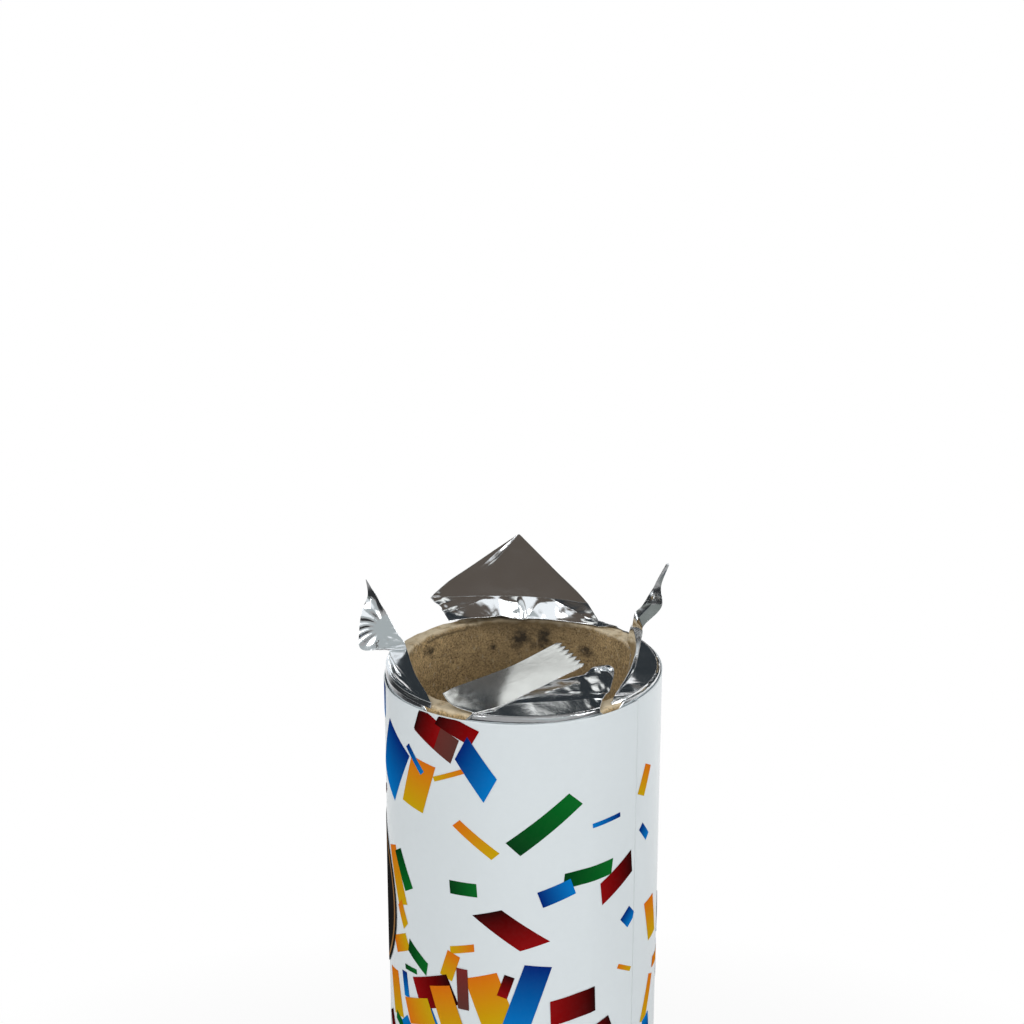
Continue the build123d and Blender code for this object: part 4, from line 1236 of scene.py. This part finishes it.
class POPPER_OT_wrap(Operator):
    """Make the glossy wrap and its printed slips."""

    bl_idname = "popper.wrap"
    bl_label = "Printed wrap"

    def execute(self, context):
        settings = context.scene.popper_wrap
        wrap = new_piece("printed_wrap", wrap_points(settings), gloss_paper("gloss_wrap", settings))
        thicken(wrap, settings.thickness, -1.0)
        place(wrap, "barrel", "printed_wrap", "label_wrap")
        ink = ink_material()
        points, colours = slip_points(settings)
        slips = new_piece("wrap_print", points, ink, colours=colours)
        place(slips, "barrel", "printed_wrap")
        points, colours = badge_points(settings)
        badge = new_piece("wrap_badge", points, ink, closed=True, ends=(0,), colours=colours)
        place(badge, "barrel", "printed_wrap")
        return {"FINISHED"}


class POPPER_OT_foil(Operator):
    """Make the foil collar, the four torn petals and the tape strip."""

    bl_idname = "popper.foil"
    bl_label = "Burst foil lid"

    def execute(self, context):
        settings = context.scene.popper_foil
        foil = foil_material("silver_foil", settings.colour, 900.0, 0.06, 0.10)
        points, uv = collar_points()
        skirt = new_piece("foil_skirt", points, foil, closed=True, uv=uv)
        thicken(skirt, settings.thickness, -1.0)
        place(skirt, "barrel", "silver_foil", "foil_collar")
        for side, shape in PETALS.items():
            points, uv = petal_points(PLAIN_PETAL | shape, settings)
            piece = new_piece("petal_" + side, points, foil, uv=uv)
            thicken(piece, settings.thickness)
            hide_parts("foil_petal_" + side)
            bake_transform(piece)
        tape = foil_material("foil_tape", settings.tape_colour, 420.0, 0.10, 0.19)
        points, uv = tape_points(settings)
        strip = new_piece("tape_strip", points, tape, uv=uv)
        thicken(strip, settings.thickness)
        place(strip, "front_petal", "foil_tape", "foil_tape_strip")
        return {"FINISHED"}

    @staticmethod
    def bend_zone(side):
        """Where a petal's foot turns: above the rim, or inwards from it for the petal that lies down."""
        if side == "front":
            return [(0, y, TAB_TOP) for y in FRONT_BEND]
        return [(0, 0, TAB_TOP + up) for up in PETAL_BEND]


class POPPER_OT_inside(Operator):
    """Make the felt wad and the slips that stay on it."""

    bl_idname = "popper.inside"
    bl_label = "Wad and leftover slips"

    def execute(self, context):
        settings = context.scene.popper_grip
        felt = fibre_material("grey_felt", settings.felt_colour)
        wad = new_piece("felt_wad", wad_points(), felt, closed=True, ends=(0, 1))
        place(wad, "wad", "wad_felt", "push_wad")
        for colour, points in zip(SPARE_COLOURS, loose_slip_points()):
            paper = fibre_material("paper_" + colour, SLIP_COLOURS[colour][1], 0.7)
            piece = new_piece("slips_" + colour, points, paper)
            thicken(piece, LOOSE_THICKNESS)
            place(piece, "wad", "paper_" + colour, "confetti_" + colour)
        return {"FINISHED"}


class POPPER_OT_grip(Operator):
    """Finish the twist grip, the plug and the firing pieces inside."""

    bl_idname = "popper.grip"
    bl_label = "Grip and mechanism"

    def execute(self, context):
        settings = context.scene.popper_grip
        black = moulded_material("black_grip", settings.plastic_colour, 0.42)
        white = moulded_material("white_plug", settings.plug_colour, 0.40)
        steel = metal_material("bright_steel", (0.62, 0.61, 0.60), 0.28)
        bottle = metal_material("bottle_steel", (0.55, 0.55, 0.56), 0.34)
        brass = metal_material("seal_brass", (0.78, 0.57, 0.28), 0.30)
        rubber = fibre_material("black_rubber", (0.02, 0.02, 0.02), 0.75)
        finishes = {
            "twist_base": black, "base_cap": black, "breech_plug": white, "spring_cap": white,
            "striker": white, "retaining_ring": steel, "plug_nails": steel, "follower_pin": steel,
            "piercing_needle": steel, "gas_bottle": bottle, "bottle_seal": brass,
            "striker_o_ring": rubber,
        }
        for name, material in finishes.items():
            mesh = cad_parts[name].data
            mesh.materials.clear()
            mesh.materials.append(material)
        spring = new_piece("coil_spring", spring_points(settings), steel, closed=True, ends=(0, 1))
        place(spring, "barrel", "steel", "striker_spring")
        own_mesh(spring)
        return {"FINISHED"}


class POPPER_OT_stage(Operator):
    """Set up the camera, the softboxes, the pale surroundings and the floor."""

    bl_idname = "popper.stage"
    bl_label = "Stage"

    def execute(self, context):
        settings = context.scene.popper_stage
        context.scene.view_settings.view_transform = "Standard"
        self.camera(context.scene, settings)
        self.world(context.scene)
        self.floor(settings)
        aim = Vector((0, 0, RIM - 20 * MM))
        self.softbox("key_softbox", (-0.75, -0.80, 0.85), aim, 0.70, settings.key_power)
        self.softbox("fill_softbox", (0.90, -0.55, 0.60), aim, 0.60, settings.fill_power)
        return {"FINISHED"}

    @staticmethod
    def camera(scene, settings):
        """Camera of the photograph."""
        data = bpy.data.cameras.new("photo_camera")
        data.lens = settings.lens
        data.sensor_width = SENSOR_WIDTH
        data.clip_start = 0.01
        camera = bpy.data.objects.new("photo_camera", data)
        camera.location = settings.camera_place
        camera.rotation_euler = (settings.camera_tilt, 0, 0)
        scene.collection.objects.link(camera)
        scene.camera = camera

    @staticmethod
    def softbox(name, location, aim, size, power):
        """Square lamp that faces a point."""
        data = bpy.data.lights.new(name, "AREA")
        data.size = size
        data.energy = power
        lamp = bpy.data.objects.new(name, data)
        lamp.location = location
        lamp.rotation_euler = (aim - Vector(location)).to_track_quat("-Z", "Y").to_euler()
        bpy.context.scene.collection.objects.link(lamp)

    @staticmethod
    def studio_colour(tree):
        """What metal sees: a white sweep, a dark room above it, and softboxes behind and beside."""
        direction = node(tree, "ShaderNodeTexCoord").outputs["Generated"]
        x, y, z = node(tree, "ShaderNodeSeparateXYZ", {"Vector": direction}).outputs
        aside = node(tree, "ShaderNodeMath", {0: x}, operation="ABSOLUTE").outputs[0]
        room = mixed(tree, mapped(tree, y, 0.30, 0.60), (0.100, 0.084, 0.071), (0.026, 0.032, 0.037))
        wall = mixed(tree, mapped(tree, x, -0.55, -0.75), (0.40, 0.44, 0.45), (0.035, 0.055, 0.075))
        # From the back layer to the front one: softbox behind, wall with the camera, wall at the left,
        # softbox above the camera, softboxes beside, sweep
        layers = (
            ((0.96, 0.98, 0.96), (y, 0.42, 0.55), (z, 0.70, 0.77), (x, 0.11, 0.04)),
            (wall, (y, 0.10, -0.10), (z, 0.60, 0.45)),
            ((0.20, 0.22, 0.21), (x, -0.82, -0.94)),
            ((0.93, 0.97, 1.0), (y, -0.15, -0.35), (z, 0.40, 0.55), (aside, 0.55, 0.35)),
            ((0.70, 0.74, 0.76), (aside, 0.55, 0.70), (z, 0.30, 0.42)),
            ((1.0, 1.0, 1.0), (z, 0.22, 0.15), (y, 0.0, 0.3), (x, -0.60, -0.30)),
        )
        for colour, *ranges in layers:
            room = mixed(tree, window(tree, *ranges), room, colour)
        return room

    def world(self, scene):
        """White for the camera, the studio for metal, and an even pale fill for everything else."""
        world = bpy.data.worlds.new("pale_studio")
        world.use_nodes = True
        scene.world = world
        tree = world.node_tree
        seen, shiny = ray_kinds(tree)
        colour = mixed(tree, shiny, (0.44, 0.44, 0.44), self.studio_colour(tree))
        colour = mixed(tree, seen, colour, WHITE)
        fill(tree, tree.nodes["Background"].inputs["Color"], colour)

    def floor(self, settings):
        """Pale floor that keeps a soft shadow near the popper and shows white further out.

        Metal sees it white as well, but greyer towards the front of the room.
        """
        ring = np.array([0.002, 0.3, 1.0])[:, None] * settings.floor_radius
        points = polar(ring, round_angles(96), 0 * ring)
        material, tree, shader = new_material("pale_floor", Base_Color=(0.86, 0.86, 0.86), Roughness=0.8)
        vector = object_vector(tree)
        seen, shiny = ray_kinds(tree)
        near = mapped(tree, distance(tree, vector), 0.06, 0.26, 0.62, 1.0)
        across, depth, _ = node(tree, "ShaderNodeSeparateXYZ", {"Vector": vector}).outputs
        lit = math_node(tree, "MINIMUM", mapped(tree, depth, -0.05, 0.35), mapped(tree, across, -0.45, -0.15))
        lit = math_node(tree, "MAXIMUM", lit, mapped(tree, depth, -0.60, -1.0, 0.0, 0.36))
        tone = mixed(tree, shiny, WHITE, mixed(tree, lit, (0.030, 0.032, 0.034), WHITE))
        glow = node(tree, "ShaderNodeEmission", {"Color": tone, "Strength": 1.0})
        share = math_node(tree, "MAXIMUM", times(tree, seen, near), shiny)
        both = node(tree, "ShaderNodeMixShader", {0: share, 1: shader.outputs[0], 2: glow.outputs[0]})
        fill(tree, tree.nodes["Material Output"].inputs["Surface"], both.outputs[0])
        new_piece("floor", points, material, closed=True)


OPERATORS = (
    POPPER_OT_tube,
    POPPER_OT_wrap,
    POPPER_OT_foil,
    POPPER_OT_inside,
    POPPER_OT_grip,
    POPPER_OT_stage,
)


class POPPER_PT_panel(Panel):
    """Lists the popper's operators and settings in the sidebar."""

    bl_idname = "POPPER_PT_panel"
    bl_label = "Confetti popper"
    bl_space_type = "VIEW_3D"
    bl_region_type = "UI"
    bl_category = "Popper"

    def draw(self, context):
        for operator in OPERATORS:
            self.layout.operator(operator.bl_idname)
        for name, settings in SETTINGS.items():
            box = self.layout.box()
            for key in settings.__annotations__:
                box.prop(getattr(context.scene, name), key)


def register():
    """Registers the settings, the operators and the panel."""
    for settings in SETTINGS.values():
        bpy.utils.register_class(settings)
    for name, settings in SETTINGS.items():
        setattr(bpy.types.Scene, name, PointerProperty(type=settings))
    for operator in OPERATORS:
        bpy.utils.register_class(operator)
    bpy.utils.register_class(POPPER_PT_panel)


def unregister():
    """Takes back what register has done."""
    bpy.utils.unregister_class(POPPER_PT_panel)
    for operator in reversed(OPERATORS):
        bpy.utils.unregister_class(operator)
    for name in SETTINGS:
        delattr(bpy.types.Scene, name)
    for settings in reversed(list(SETTINGS.values())):
        bpy.utils.unregister_class(settings)


def main():
    """Makes the popper and its stage."""
    register()
    bpy.ops.popper.tube()
    bpy.ops.popper.wrap()
    bpy.ops.popper.foil()
    bpy.ops.popper.inside()
    bpy.ops.popper.grip()
    bpy.ops.popper.stage()


if __name__ == "__main__":
    main()
